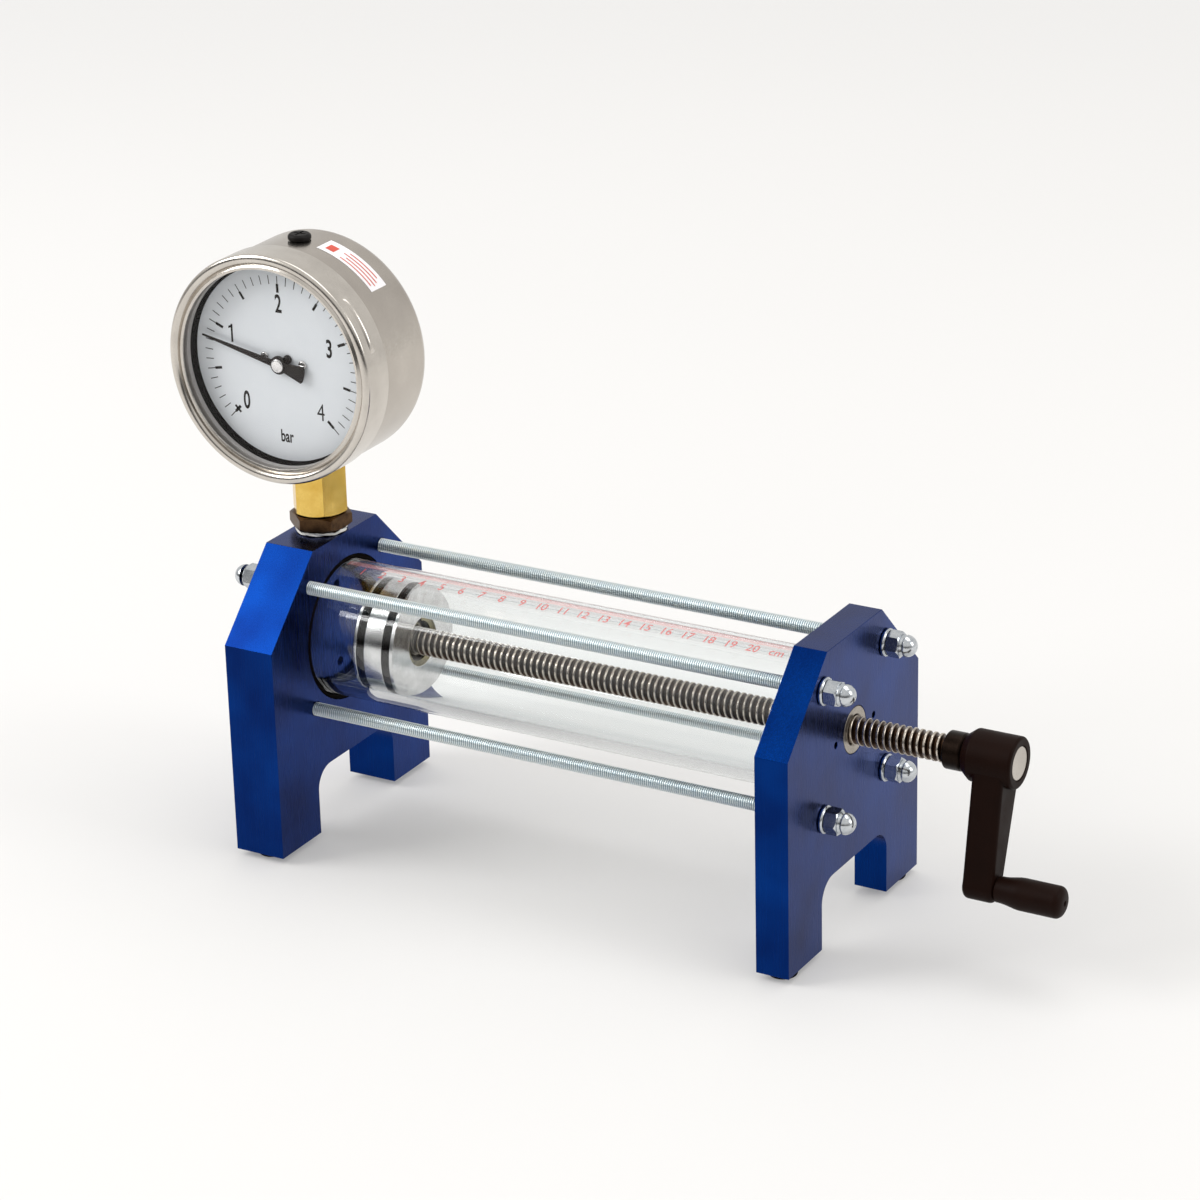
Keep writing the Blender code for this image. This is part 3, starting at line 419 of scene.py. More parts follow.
# %% Outlines
def polar(radius, degrees, centre=(0, 0)):
    """A point at this distance and direction from a centre."""
    angle = math.radians(degrees)
    return (centre[0] + radius * math.cos(angle), centre[1] + radius * math.sin(angle))


def arc(centre, radius, start, end, steps):
    """Points along an arc, in degrees, with both ends."""
    return [polar(radius, start + (end - start) * step / steps, centre) for step in range(steps + 1)]


def rounded(points, radius, steps=4, closed=True):
    """Replaces each corner of an outline with a small curve."""
    made = []
    for number, here in enumerate(points):
        if not closed and number in (0, len(points) - 1):
            made.append(here)
            continue
        here = Vector(here)
        to_before = Vector(points[number - 1]) - here
        to_after = Vector(points[(number + 1) % len(points)]) - here
        turn = to_before.angle(to_after, 0)
        if turn > math.radians(155):
            made.append(tuple(here))
            continue
        reach = min(radius, to_before.length / 2.1, to_after.length / 2.1)
        start = here + to_before.normalized() * reach
        end = here + to_after.normalized() * reach
        for step in range(steps + 1):
            t = step / steps
            made.append(tuple(start * (1 - t) ** 2 + here * 2 * t * (1 - t) + end * t * t))
    return made


def hexagon(across_flats, first_corner=0):
    """A hexagon's corners, from the distance between two opposite sides."""
    return [polar(across_flats / math.sqrt(3), first_corner + 60 * side) for side in range(6)]


print("a 10 mm hexagon is", round(2 * hexagon(10)[0][0], 2), "mm across its corners")

# %% Turned, extruded and cut pieces
TURN_TO = {
    "X": Matrix.Identity(4),
    "Y": Matrix.Rotation(math.radians(90), 4, "Z"),
    "Z": Matrix.Rotation(math.radians(-90), 4, "Y"),
}


def place_mesh(bm, name, material, at, sharp=40):
    """Turns a mesh drawn in millimetres into a placed object, smooth except at sharp edges."""
    bmesh.ops.remove_doubles(bm, verts=bm.verts, dist=0.001)
    bmesh.ops.recalc_face_normals(bm, faces=bm.faces)
    bmesh.ops.scale(bm, vec=(MM, MM, MM), verts=bm.verts)
    mesh = bpy.data.meshes.new(name)
    bm.to_mesh(mesh)
    bm.free()
    mesh.shade_smooth()
    mesh.set_sharp_from_angle(angle=math.radians(sharp))
    mesh.materials.append(material)
    made = bpy.data.objects.new(name, mesh)
    made.location = Vector(at) * MM
    bpy.context.scene.collection.objects.link(made)
    return made


def bar_section(start, end, radius):
    """The section of a plain solid bar."""
    return [(start, 0), (start, radius), (end, radius), (end, 0)]


def ring_section(start, end, inner, outer):
    """The section of a plain ring."""
    return [(start, inner), (start, outer), (end, outer), (end, inner)]


def turned(name, section, material, at=(0, 0, 0), axis="X", sides=96, rounding=0.3):
    """Spins a section of (along the axis, radius) points. One that starts and ends on the axis is solid."""
    solid = section[0][1] == 0 and section[-1][1] == 0
    if rounding:
        section = rounded(section, rounding, closed=not solid)
    bm = bmesh.new()
    points = [bm.verts.new((along, 0, radius)) for along, radius in section]
    pairs = list(zip(points, points[1:] + points[:1]))[:-1 if solid else None]
    edges = [bm.edges.new(pair) for pair in pairs]
    bmesh.ops.spin(bm, geom=points + edges, axis=(1, 0, 0), angle=math.tau, steps=sides, use_merge=True)
    bmesh.ops.transform(bm, matrix=TURN_TO[axis], verts=bm.verts)
    made = place_mesh(bm, name, material, at)
    made.modifiers.new("even shading", "WEIGHTED_NORMAL").keep_sharp = True
    return made


def extruded(name, outline, start, end, material, at=(0, 0, 0), axis="X"):
    """Pushes an outline along an axis. It is (y, z) for X, (x, z) for Y and (x, y) for Z."""
    spot = {
        "X": lambda a, b, along: (along, a, b),
        "Y": lambda a, b, along: (a, along, b),
        "Z": lambda a, b, along: (a, b, along),
    }[axis]
    bm = bmesh.new()
    near = [bm.verts.new(spot(a, b, start)) for a, b in outline]
    far = [bm.verts.new(spot(a, b, end)) for a, b in outline]
    bm.faces.new(near)
    bm.faces.new(far)
    for number in range(len(outline)):
        following = (number + 1) % len(outline)
        bm.faces.new((near[number], near[following], far[following], far[number]))
    return place_mesh(bm, name, material, at, 25)


def settle(made):
    """Writes the modifiers' result into the mesh, so that helpers can be thrown away."""
    graph = bpy.context.evaluated_depsgraph_get()
    mesh = bpy.data.meshes.new_from_object(made.evaluated_get(graph))
    made.modifiers.clear()
    made.data = mesh
    return made


def cutter(name, section, material, at=(0, 0, 0), axis="X", sides=72):
    """A sharp-cornered turned solid, to cut with or to join on."""
    return settle(turned(name, section, material, at, axis, sides, 0))


def carve(made, operation, *others):
    """Cuts with, or joins, other solids, and removes them."""
    for other in others:
        step = made.modifiers.new("carve", "BOOLEAN")
        step.operation = operation
        step.solver = "EXACT"
        step.object = other
    bpy.context.view_layer.update()
    settle(made)
    for other in others:
        bpy.data.objects.remove(other, do_unlink=True)
    return made


def soften(made, width, segments=3):
    """Bevels every edge sharper than 25 degrees, and keeps the flat faces flat in the light."""
    made.data.shade_smooth()
    bevel = made.modifiers.new("edges", "BEVEL")
    bevel.width = width * MM
    bevel.segments = segments
    bevel.limit_method = "ANGLE"
    bevel.angle_limit = math.radians(25)
    bevel.use_clamp_overlap = True
    made.modifiers.new("even shading", "WEIGHTED_NORMAL")
    return made


def copied(name, pattern, at, turn):
    """One more object that shares a pattern's mesh, so that many nuts cost one."""
    made = bpy.data.objects.new(name, pattern.data)
    bpy.context.scene.collection.objects.link(made)
    made.location = Vector(at) * MM
    made.rotation_euler = turn
    return made


def stands_for(made, slot, body, *nodes):
    """Hangs a finished piece on its body, in place of its engineering nodes."""
    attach(made, body)
    if nodes:
        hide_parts(*nodes)
    return made


print("ways to make a piece: turned, extruded, carved, copied")

# %% [markdown]
# ## The two plates
# Sawn and milled from thick bar: two legs, an arch between them, and the top corners taken off at 45
# degrees. The outline is drawn once. A boolean drills the holes, then a narrow bevel rounds every
# edge, which is what draws the thin bright lines along them.

# %% Plates
PLATE_CHAMFER = 35.0
ARCH_WIDTH = 60.0
ARCH_HEIGHT = 30.0
ARCH_CORNER = 10.0
ROD_CIRCLE = 40.0
ROD_HOLE = 3.3
RECESS_RADIUS = 32.5
RECESS_DEPTH = 4.7
PLATE_EDGE = 0.45
PAST = 5.0


def on_axis(x):
    """A point on the cylinder's axis."""
    return Vector((x, 0, AXIS.z))


def plate_outline(low, high):
    """The plate from the end, as (y, z) from the cylinder's axis."""
    bottom, top = low.z - AXIS.z, high.z - AXIS.z
    half = (high.y - low.y) / 2
    arch = ARCH_WIDTH / 2
    spring = bottom + ARCH_HEIGHT - ARCH_CORNER
    return (
        [(-half, bottom), (-arch, bottom)]
        + arc((ARCH_CORNER - arch, spring), ARCH_CORNER, 180, 90, 14)
        + arc((arch - ARCH_CORNER, spring), ARCH_CORNER, 90, 0, 14)
        + [(arch, bottom), (half, bottom), (half, top - PLATE_CHAMFER)]
        + [(half - PLATE_CHAMFER, top), (PLATE_CHAMFER - half, top), (-half, top - PLATE_CHAMFER)]
    )


def drill(name, radius, start, end, at, axis="X"):
    """A cutter for a plain round hole."""
    return cutter(name, bar_section(start, end, radius), anodised, at, axis, 64)


def plate(name, node, inner_face, extra_holes):
    """One plate with its four rod holes, its own holes and softened edges."""
    low, high = corners(node)
    at = on_axis(inner_face)
    start, end = sorted((low.x - inner_face, high.x - inner_face))
    made = extruded(name, plate_outline(low, high), start, end, anodised, at)
    centres = [at + Vector((0, *polar(ROD_CIRCLE, 45 + 90 * corner))) for corner in range(4)]
    holes = [drill("rod_hole", ROD_HOLE, start - PAST, end + PAST, centre) for centre in centres]
    carve(made, "DIFFERENCE", *holes, *extra_holes)
    return stands_for(soften(made, PLATE_EDGE), "blue_anodised", "stand", node)


face = on_axis(INNER_FACE)
middle_of_plate = on_axis((gauge_plate_low.x + gauge_plate_high.x) / 2)
gauge_plate = plate("gauge_plate_milled", "gauge_plate", INNER_FACE, [
    drill("recess", RECESS_RADIUS, -RECESS_DEPTH, PAST, face),
    drill("upper_air_hole", 2.2, -12, PAST, face + Vector((0, 0, 18))),
    drill("lower_air_hole", 2.2, -12, PAST, face + Vector((0, 0, -18))),
    drill("port", 10.5, 34.5, 60, middle_of_plate, "Z"),
])
face = on_axis(crank_plate_low.x)
crank_plate = plate("crank_plate_milled", "crank_plate", crank_plate_low.x, [
    drill("recess", RECESS_RADIUS, -PAST, RECESS_DEPTH, face),
    drill("lead_nut_hole", 10.3, -PAST, 25, face),
    drill("near_vent", 1.5, -PAST, 25, face + Vector((0, -17.3, 0))),
    drill("far_vent", 1.5, -PAST, 25, face + Vector((0, 17.3, 0))),
])
print("plates:", len(gauge_plate.data.polygons), "and", len(crank_plate.data.polygons), "faces")

# %% [markdown]
# ## Feet
# Small turned rubber buttons under the legs, slightly wider at the top and rounded at the floor.

# %% Feet
FOOT_GAP = 0.3
STUD_RADIUS = 2.0

for number in range(1, 5):
    low, high = corners(f"foot_{number}")
    middle = (low + high) / 2
    tall = gauge_plate_low.z - low.z - FOOT_GAP
    stud_top = high.z - low.z
    section = [(0, 0), (0, 5.7), (0.5, 6.1), (tall, 6.35)]
    section += [(tall, STUD_RADIUS), (stud_top, STUD_RADIUS), (stud_top, 0)]
    foot = turned(f"rubber_foot_{number}", section, matt_rubber, (middle.x, middle.y, low.z), "Z", 64, 0.5)
    stands_for(foot, "black_rubber", "stand", f"foot_{number}")
print("feet:", 4, "each", round(tall, 1), "mm below the plates")

# %% [markdown]
# ## The cylinder
# A clear tube with polished ends, held between two black seal rings that sit in the plates' recesses.

# %% Tube and seals
TUBE_OUTER = 30.0
TUBE_INNER = 25.0
SEAL_OUTER = 32.2

tube_length = tube_high.x - tube_low.x
section = ring_section(0, tube_length, TUBE_INNER, TUBE_OUTER)
tube = turned("polished_tube", section, acrylic, on_axis(tube_low.x), "X", 192, 0.4)
stands_for(tube, "clear_acrylic", "stand", "cylinder_tube")

for name, inner_face, inward in (
    ("gauge_end_seal", INNER_FACE, 1),
    ("crank_end_seal", crank_plate_low.x, -1),
):
    low, high = corners(name)
    deep = high.x - low.x
    flange = [(0, 30.3), (0, SEAL_OUTER), (-deep, SEAL_OUTER)]
    flange += [(-deep, 25.3), (1.2 - deep, 25.3), (1.2 - deep, 30.3)]
    section = [(inward * along, radius) for along, radius in flange]
    seal = turned(f"{name}_moulded", section, matt_rubber, on_axis(inner_face), "X", 160, 0.4)
    stands_for(seal, "black_rubber", "stand", name)
print("tube:", round(tube_length, 1), "mm long")

# %% [markdown]
# ## The measuring strip
# A clear film along the top of the tube, printed in red: a centimetre number every 10 mm, and beyond
# the numbers a band of millimetre ticks. Everything is drawn flat, with x along the tube and y round
# it, cut into narrow strips so that it can bend, and then wrapped onto the tube.

# %% Film and print
FILM_INNER = 30.3
FILM_OUTER = 30.5
# The film's edges, in degrees from the top of the tube.
FILM_NEAR_EDGE = -20
FILM_FAR_EDGE = 12
NUMBER_FROM_TOP = 10.5
ZERO_AT = 2.3
NUMBER_HEIGHT = 4.6


def wrapped(bm, name, material, radius):
    """Bends a flat drawing round the tube. Its y is millimetres round from the top, towards +Y."""
    step = 0.7
    lowest = min(vert.co.y for vert in bm.verts)
    highest = max(vert.co.y for vert in bm.verts)
    for number in range(1, math.ceil((highest - lowest) / step)):
        bmesh.ops.bisect_plane(
            bm, geom=bm.verts[:] + bm.edges[:] + bm.faces[:], dist=0.0001,
            plane_co=(0, lowest + number * step, 0), plane_no=(0, 1, 0),
        )
    for vert in bm.verts:
        angle = vert.co.y / FILM_OUTER
        out = radius + vert.co.z
        vert.co = (vert.co.x, out * math.sin(angle), out * math.cos(angle))
    return stands_for(place_mesh(bm, name, material, on_axis(INNER_FACE)), "printed_film", "stand")


def bar(bm, x, y, width, depth):
    """A flat rectangle about a point."""
    spots = [(x - width / 2, y - depth / 2), (x + width / 2, y - depth / 2)]
    spots += [(x + width / 2, y + depth / 2), (x - width / 2, y + depth / 2)]
    bm.faces.new([bm.verts.new((a, b, 0)) for a, b in spots])


def typeset(text, weight):
    """Text as a flat mesh one unit in size, with its strokes made bolder by a weight."""
    curve = bpy.data.curves.new("lettering", "FONT")
    curve.body = text
    curve.offset = weight
    curve.resolution_u = 5
    typed = bpy.data.objects.new("lettering", curve)
    bpy.context.scene.collection.objects.link(typed)
    bpy.context.view_layer.update()
    mesh = bpy.data.meshes.new_from_object(typed.evaluated_get(bpy.context.evaluated_depsgraph_get()))
    bpy.data.objects.remove(typed, do_unlink=True)
    bpy.data.curves.remove(curve)
    return mesh


def lettering(bm, text, x, y, height, squeeze=1.0, weight=0.0):
    """Adds text to a flat drawing, centred on a point. The height is a digit's, in millimetres."""
    size = height / DIGIT_HEIGHT
    mesh = typeset(text, weight)
    across = [vert.co.x for vert in mesh.vertices]
    middle = Vector(((min(across) + max(across)) / 2, DIGIT_HEIGHT / 2, 0))
    grow = Matrix.Diagonal((size * squeeze, size, size, 1))
    mesh.transform(Matrix.Translation((x, y, 0)) @ grow @ Matrix.Translation(-middle))
    bm.from_mesh(mesh)
    bpy.data.meshes.remove(mesh)


DIGIT_HEIGHT = max(vert.co.y for vert in typeset("7", 0).vertices)

film_low, film_high = corners("scale_film")
film_start, film_end = film_low.x - INNER_FACE, film_high.x - INNER_FACE
film_middle, film_length = (film_start + film_end) / 2, film_end - film_start
far_edge = math.radians(FILM_FAR_EDGE) * FILM_OUTER
outline = arc((0, 0), FILM_OUTER, 90 - FILM_NEAR_EDGE, 90 - FILM_FAR_EDGE, 32)
outline += arc((0, 0), FILM_INNER, 90 - FILM_FAR_EDGE, 90 - FILM_NEAR_EDGE, 32)
film = extruded("clear_film", outline, film_start, film_end, film_clear, on_axis(INNER_FACE))
stands_for(film, "printed_film", "stand", "scale_film")

number_y = math.radians(-NUMBER_FROM_TOP) * FILM_OUTER
drawing = bmesh.new()
for centimetre in range(1, 22):
    text, x = (str(centimetre), 10 * centimetre) if centimetre < 21 else ("cm", 211)
    lettering(drawing, text, ZERO_AT + x, number_y, NUMBER_HEIGHT, 0.85, 0.008)
wrapped(drawing, "red_numbers", red_ink, FILM_OUTER + 0.03)

drawing = bmesh.new()
band_start = number_y + NUMBER_HEIGHT / 2 + 0.7
for millimetre in range(0, 225):
    reach = 2.6 if millimetre % 5 == 0 else 1.8
    if millimetre % 10:
        bar(drawing, ZERO_AT + millimetre, band_start + reach / 2, 0.14, reach)
wrapped(drawing, "pale_millimetre_ticks", pink_tint, FILM_OUTER + 0.04)
drawing = bmesh.new()
for centimetre in range(0, 23):
    bar(drawing, ZERO_AT + 10 * centimetre, band_start + 2.0, 0.16, 4.0)
wrapped(drawing, "red_centimetre_ticks", red_ink, FILM_OUTER + 0.05)

drawing = bmesh.new()
bar(drawing, film_middle, band_start + 2.4, film_length - 1, 3.6)
bar(drawing, film_middle, far_edge - 0.5, film_length - 1, 0.5)
wrapped(drawing, "pale_red_bands", pink_tint, FILM_OUTER + 0.015)
print("numbers: 20, ticks: 225, film", round(film_length), "mm long")

# %% [markdown]
# ## Threads
# A screw thread is one profile swept along a helix. A grid does it: walk the profile along the axis,
# then turn a little and shift by that fraction of the pitch, all the way round. After a full turn the
# profile has moved by exactly one pitch, so the last column joins the first, one pitch further on.


# %% Threaded rod
def threaded(name, profile, pitch, length, material, sides):
    """A right-hand thread along +X. The profile is one pitch of (along, radius) points."""
    per_pitch = len(profile)
    rows = (math.ceil(length / pitch) + 2) * per_pitch
    bm = bmesh.new()
    grid = []
    for row in range(rows):
        along, radius = profile[row % per_pitch]
        base = (row // per_pitch - 1) * pitch + along
        line = []
        for side in range(sides):
            turn = side / sides
            x = min(max(base + turn * pitch, 0), length)
            line.append(bm.verts.new((x, *polar(radius, 360 * turn))))
        grid.append(line)
    for row in range(rows - 1):
        for side in range(sides - 1):
            bm.faces.new((grid[row][side], grid[row][side + 1], grid[row + 1][side + 1], grid[row + 1][side]))
        if row + 1 + per_pitch < rows:
            bm.faces.new((
                grid[row][-1], grid[row + per_pitch][0], grid[row + 1 + per_pitch][0], grid[row + 1][-1],
            ))
    return place_mesh(bm, name, material, (0, 0, 0), 35)


M6_PITCH = 1.0
m6_profile = [(0.0, M6_ROOT), (0.12, M6_ROOT), (0.44, M6_CREST), (0.62, M6_CREST)]
rod_low, rod_high = corners("tie_rod_1")
rod_length = rod_high.x - rod_low.x
first = threaded("threaded_rod_1", m6_profile, M6_PITCH, rod_length, rod_zinc, 28)
for number in range(1, 5):
    low, high = corners(f"tie_rod_{number}")
    middle = (low + high) / 2
    made = first if number == 1 else copied(f"threaded_rod_{number}", first, (0, 0, 0), (0, 0, 0))
    made.location = Vector((low.x, middle.y, middle.z)) * MM
    made.rotation_euler.x = math.radians(83 * number)
    stands_for(made, "zinc_plated_steel", "stand", f"tie_rod_{number}")
print("one rod:", round(rod_length, 1), "mm,", len(first.data.vertices), "points")

# %% [markdown]
# ## Washers and acorn nuts
# A pressed washer has a rounded edge on one side. An acorn nut is a hexagon whose corners are turned
# off at 30 degrees, with a polished dome on top. The corner is cut by keeping only what lies inside a
# cone: a boolean intersection of a hexagonal bar with a turned blank.

# %% Washers and nuts
NUT_FLATS = 10.0
NUT_HEX = 5.5
NUT_TALL = 12.0
NUT_BORE = 3.3
DOME_RADIUS = 4.75
WASHER_OUTER = 6.0
# How far each nut was left turned, in degrees.
NUT_TURNS = {"crank": (12, 38, 4, 22), "gauge": (8, 51, 17, 33)}


def acorn_nut(name):
    """A hexagon with turned-off corners, a dome on top and a blind bore."""
    hex_bar = extruded(name, hexagon(NUT_FLATS), 0, NUT_HEX, nut_zinc)
    corner = NUT_FLATS / math.sqrt(3)
    cone = [(-0.1, 0), (-0.1, NUT_FLATS / 2 + 0.15), (0.35, corner + 0.1), (NUT_HEX - 0.75, corner + 0.1)]
    cone += [(NUT_HEX + 0.02, NUT_FLATS / 2 - 0.05), (NUT_HEX + 0.02, 0)]
    carve(hex_bar, "INTERSECT", cutter("blank", cone, nut_zinc))
    straight = NUT_TALL - DOME_RADIUS
    dome = [(NUT_HEX - 1, 0), (NUT_HEX - 1, DOME_RADIUS - 0.1), (NUT_HEX + 0.15, DOME_RADIUS - 0.1)]
    dome += [(NUT_HEX + 0.45, DOME_RADIUS)]
    dome += [(straight + a, r) for a, r in arc((0, 0), DOME_RADIUS, 0, 87, 16)] + [(NUT_TALL, 0)]
    carve(hex_bar, "UNION", cutter("dome", dome, nut_zinc))
    bore = [(-1, 0), (-1, 3.8), (0.05, 3.8), (0.75, NUT_BORE), (8.3, NUT_BORE), (8.3, 0)]
    carve(hex_bar, "DIFFERENCE", cutter("bore", bore, nut_zinc, sides=48))
    return settle(soften(hex_bar, 0.12, 2))


pattern = acorn_nut("acorn_nut_pattern")
washer_low, washer_high = corners("crank_washer_1")
thick = washer_high.x - washer_low.x
flat_side = [(0, NUT_BORE), (0, 5.9), (0.25, WASHER_OUTER)]
section = flat_side + [(thick - 0.6, WASHER_OUTER), (thick, 5.45), (thick, NUT_BORE)]
for end, outward in (("gauge", -1), ("crank", 1)):
    facing_out = [(outward * along, radius) for along, radius in section]
    for number, degrees in enumerate(NUT_TURNS[end], 1):
        low, high = corners(f"{end}_cap_nut_{number}")
        middle = (low + high) / 2
        seat = low.x if outward > 0 else high.x
        turn = (math.radians(degrees), 0, 0 if outward > 0 else math.pi)
        nut = copied(f"{end}_acorn_nut_{number}", pattern, (seat, middle.y, middle.z), turn)
        stands_for(nut, "zinc_plated_steel", "stand", f"{end}_cap_nut_{number}")
        low, high = corners(f"{end}_washer_{number}")
        seat = low.x if outward > 0 else high.x
        name = f"{end}_pressed_washer_{number}"
        washer = turned(name, facing_out, nut_zinc, (seat, middle.y, middle.z), "X", 64, 0.15)
        stands_for(washer, "zinc_plated_steel", "stand", f"{end}_washer_{number}")
bpy.data.objects.remove(pattern, do_unlink=True)
print("acorn nuts: 8, washers: 8,", len(nut.data.polygons), "faces a nut")

# %% [markdown]
# ## Piston
# A turned aluminium slug with two grooves for O-rings and a stepped pocket at the back for the
# bearing. The section holds every step, so one spin makes it all.

# %% Piston, O-rings and bearing
PISTON_RADIUS = 24.6
GROOVE_FLOOR = 21.6
GROOVE_WIDTH = 3.9
O_RING_PLACES = (3.4, 16.2)
POCKET_DEPTH = 10.0
BEARING_POCKET = 11.0
INNER_POCKET = 7.5
RACE_EDGE = 0.28

piston_low, piston_high = corners("piston")
piston_at = on_axis(piston_low.x)
piston_long = piston_high.x - piston_low.x
pocket = piston_long - POCKET_DEPTH
section = [(0, 0), (0, PISTON_RADIUS)]
for spot in O_RING_PLACES:
    near, far = spot - GROOVE_WIDTH / 2, spot + GROOVE_WIDTH / 2
    section += [(near, PISTON_RADIUS), (near, GROOVE_FLOOR), (far, GROOVE_FLOOR), (far, PISTON_RADIUS)]
section += [(piston_long, PISTON_RADIUS), (piston_long, BEARING_POCKET), (pocket, BEARING_POCKET)]
section += [(pocket, INNER_POCKET), (pocket - 4.5, INNER_POCKET), (pocket - 4.5, 0)]
piston = turned("turned_piston", section, turned_aluminium, piston_at, "X", 144, 0.25)
stands_for(piston, "turned_aluminium", "piston", "piston")

for name, spot in zip(("front_o_ring", "rear_o_ring"), O_RING_PLACES):
    low, high = corners(name)
    outer = (high.z - low.z) / 2
    middle = (GROOVE_FLOOR + 0.3 + outer) / 2
    turns = [math.tau * step / 20 for step in range(20)]
    bulge = [(spot + 1.65 * math.cos(turn), middle + (outer - middle) * math.sin(turn)) for turn in turns]
    o_ring = turned(f"{name}_moulded", bulge, matt_rubber, piston_at, "X", 128, 0)
    stands_for(o_ring, "black_rubber", "piston", name)

bearing_low, bearing_high = corners("bearing_outer_ring")
wide = bearing_high.x - bearing_low.x
section = [(0, 9.0), (0, 10.7), (wide, 10.7), (wide, 9.0)]
section += [(wide * (1 - RACE_EDGE), 9.0), (wide * 0.5, 9.6), (wide * RACE_EDGE, 9.0)]
outer_ring = turned("bearing_outer_race", section, ground_steel, on_axis(bearing_low.x), "X", 96, 0.2)
stands_for(outer_ring, "steel", "piston", "bearing_outer_ring")
clip_low, clip_high = corners("bearing_retaining_clip")
section = ring_section(0, clip_high.x - clip_low.x, 8.8, 11.5)
clip = turned("bearing_clip_plated", section, yellow_zinc, on_axis(clip_low.x), "X", 96, 0.2)
opening = [(-1.6, 5), (1.6, 5), (1.6, 14), (-1.6, 14)]
carve(clip, "DIFFERENCE", extruded("clip_gap", opening, -3, 3, yellow_zinc, on_axis(clip_low.x)))
stands_for(clip, "brass", "piston", "bearing_retaining_clip")
print("piston:", round(piston_long, 1), "mm long,", len(piston.data.polygons), "faces")

# %% [markdown]
# ## Lead screw
# A trapezoidal thread of 12 mm and 3 mm pitch. Both flanks lean at 15 degrees, and crest and root are
# flat, with worn edges. Its plain ends are turned: a journal for the bearing and a stem for the crank.

# %% Spindle, its races and the lead nut
SCREW_PITCH = 3.0
CREST_FLAT = 0.9
FLANK_ANGLE = 15
WORN = 0.16
BALLS = 9
BALL_RADIUS = 1.7

spindle_low, spindle_high = corners("spindle")
inner_low, inner_high = corners("bearing_inner_ring")
bushing_low, bushing_high = corners("crank_bushing")
screw_start = inner_high.x + 0.3
screw_length = bushing_low.x - 0.3 - screw_start
flank = (SCREW_OUTER - SCREW_ROOT) * math.tan(math.radians(FLANK_ANGLE))
half_root = (SCREW_PITCH - CREST_FLAT - 2 * flank) / 2
trapezoid = [
    (0.0, SCREW_ROOT), (half_root - 0.12, SCREW_ROOT), (half_root + 0.06, SCREW_ROOT + WORN),
    (half_root + flank - 0.06, SCREW_OUTER - WORN), (half_root + flank + 0.12, SCREW_OUTER),
    (half_root + flank + 0.78, SCREW_OUTER), (half_root + flank + 0.96, SCREW_OUTER - WORN),
    (half_root + 2 * flank + 0.84, SCREW_ROOT + WORN), (half_root + 2 * flank + 1.02, SCREW_ROOT),
]
screw = threaded("trapezoidal_screw", trapezoid, SCREW_PITCH, screw_length, screw_steel, 56)
screw.location = on_axis(screw_start) * MM
stands_for(screw, "steel", "crank", "spindle")
stem_start = bushing_low.x - 0.5
for name, start, long, radius, rounding in (
    ("spindle_journal", spindle_low.x, screw_start - spindle_low.x + 0.4, 4.0, 0.4),
    ("spindle_collar", screw_start, 1.2, 5.9, 0.3),
    ("spindle_stem", stem_start, spindle_high.x - stem_start, 4.5, 0.3),
):
    made = turned(name, bar_section(0, long, radius), ground_steel, on_axis(start), "X", 64, rounding)
    stands_for(made, "steel", "crank", "spindle")

wide = inner_high.x - inner_low.x
section = [(0, 4.3), (0, 6.4), (wide * RACE_EDGE, 6.4), (wide * 0.5, 5.8)]
section += [(wide * (1 - RACE_EDGE), 6.4), (wide, 6.4), (wide, 4.3)]
inner_ring = turned("bearing_inner_race", section, ground_steel, on_axis(inner_low.x), "X", 96, 0.2)
stands_for(inner_ring, "steel", "crank", "bearing_inner_ring")
balls = bmesh.new()
for ball in range(BALLS):
    spot = Matrix.Translation((wide / 2, *polar(7.7, 360 / BALLS * ball)))
    bmesh.ops.create_icosphere(balls, subdivisions=3, radius=BALL_RADIUS, matrix=spot)
stands_for(place_mesh(balls, "bearing_balls", ground_steel, on_axis(inner_low.x)), "steel", "crank")
end_low, end_high = corners("spindle_end_clip")
section = ring_section(0, end_high.x - end_low.x, 4.3, 6.4)
end_clip = turned("spindle_end_clip_sprung", section, blackened_steel, on_axis(end_low.x), "X", 64, 0.2)
stands_for(end_clip, "blackened_steel", "crank", "spindle_end_clip")

nut_low, nut_high = corners("lead_nut")
nut_long = nut_high.x - nut_low.x
section = [(0, 6.3), (0, 14.0), (2.0, 14.0), (2.0, 10.0)]
section += [(nut_long, 10.0), (nut_long, 6.9), (nut_long - 0.7, 6.3)]
lead_nut = turned("lead_nut_faced", section, ground_steel, on_axis(nut_low.x), "X", 96, 0.2)
stands_for(lead_nut, "steel", "stand", "lead_nut")
print("screw:", round(screw_length, 1), "mm of thread,", len(screw.data.vertices), "points")

# %% [markdown]
# ## Crank
# The arm is a moulded phenolic piece: a drum-shaped hub with a cone towards the bushing, and a flat
# tapering arm that ends round about the grip. Hub and arm are separate solids joined by a boolean: the
# hub's corners are rounded before it is spun, and a bevel rounds the arm before the join. It hangs at
# the angle at which it was left.

# %% Bushing, crank arm and cap
CRANK_ANGLE = math.radians(14.5)
CRANK_RADIUS = 52.3
HUB_RADIUS = 11.0
ARM_START = 6.2
ARM_THICK = 13.6
ARM_TIP = 6.3
BUSHING_RADIUS = 8.0

arm_low, arm_high = corners("crank_arm")
cap_low, cap_high = corners("hub_cap")
hub_at = on_axis(arm_low.x)
hub_long = arm_high.x - arm_low.x

long = bushing_high.x - bushing_low.x
section = [(0, 4.8), (0, 7.5), (0.5, BUSHING_RADIUS), (long - 1.1, BUSHING_RADIUS), (long, 7.1), (long, 4.8)]
bushing = turned("blackened_bushing", section, blackened_steel, on_axis(bushing_low.x), "X", 96, 0.3)
stands_for(bushing, "blackened_steel", "crank", "crank_bushing")

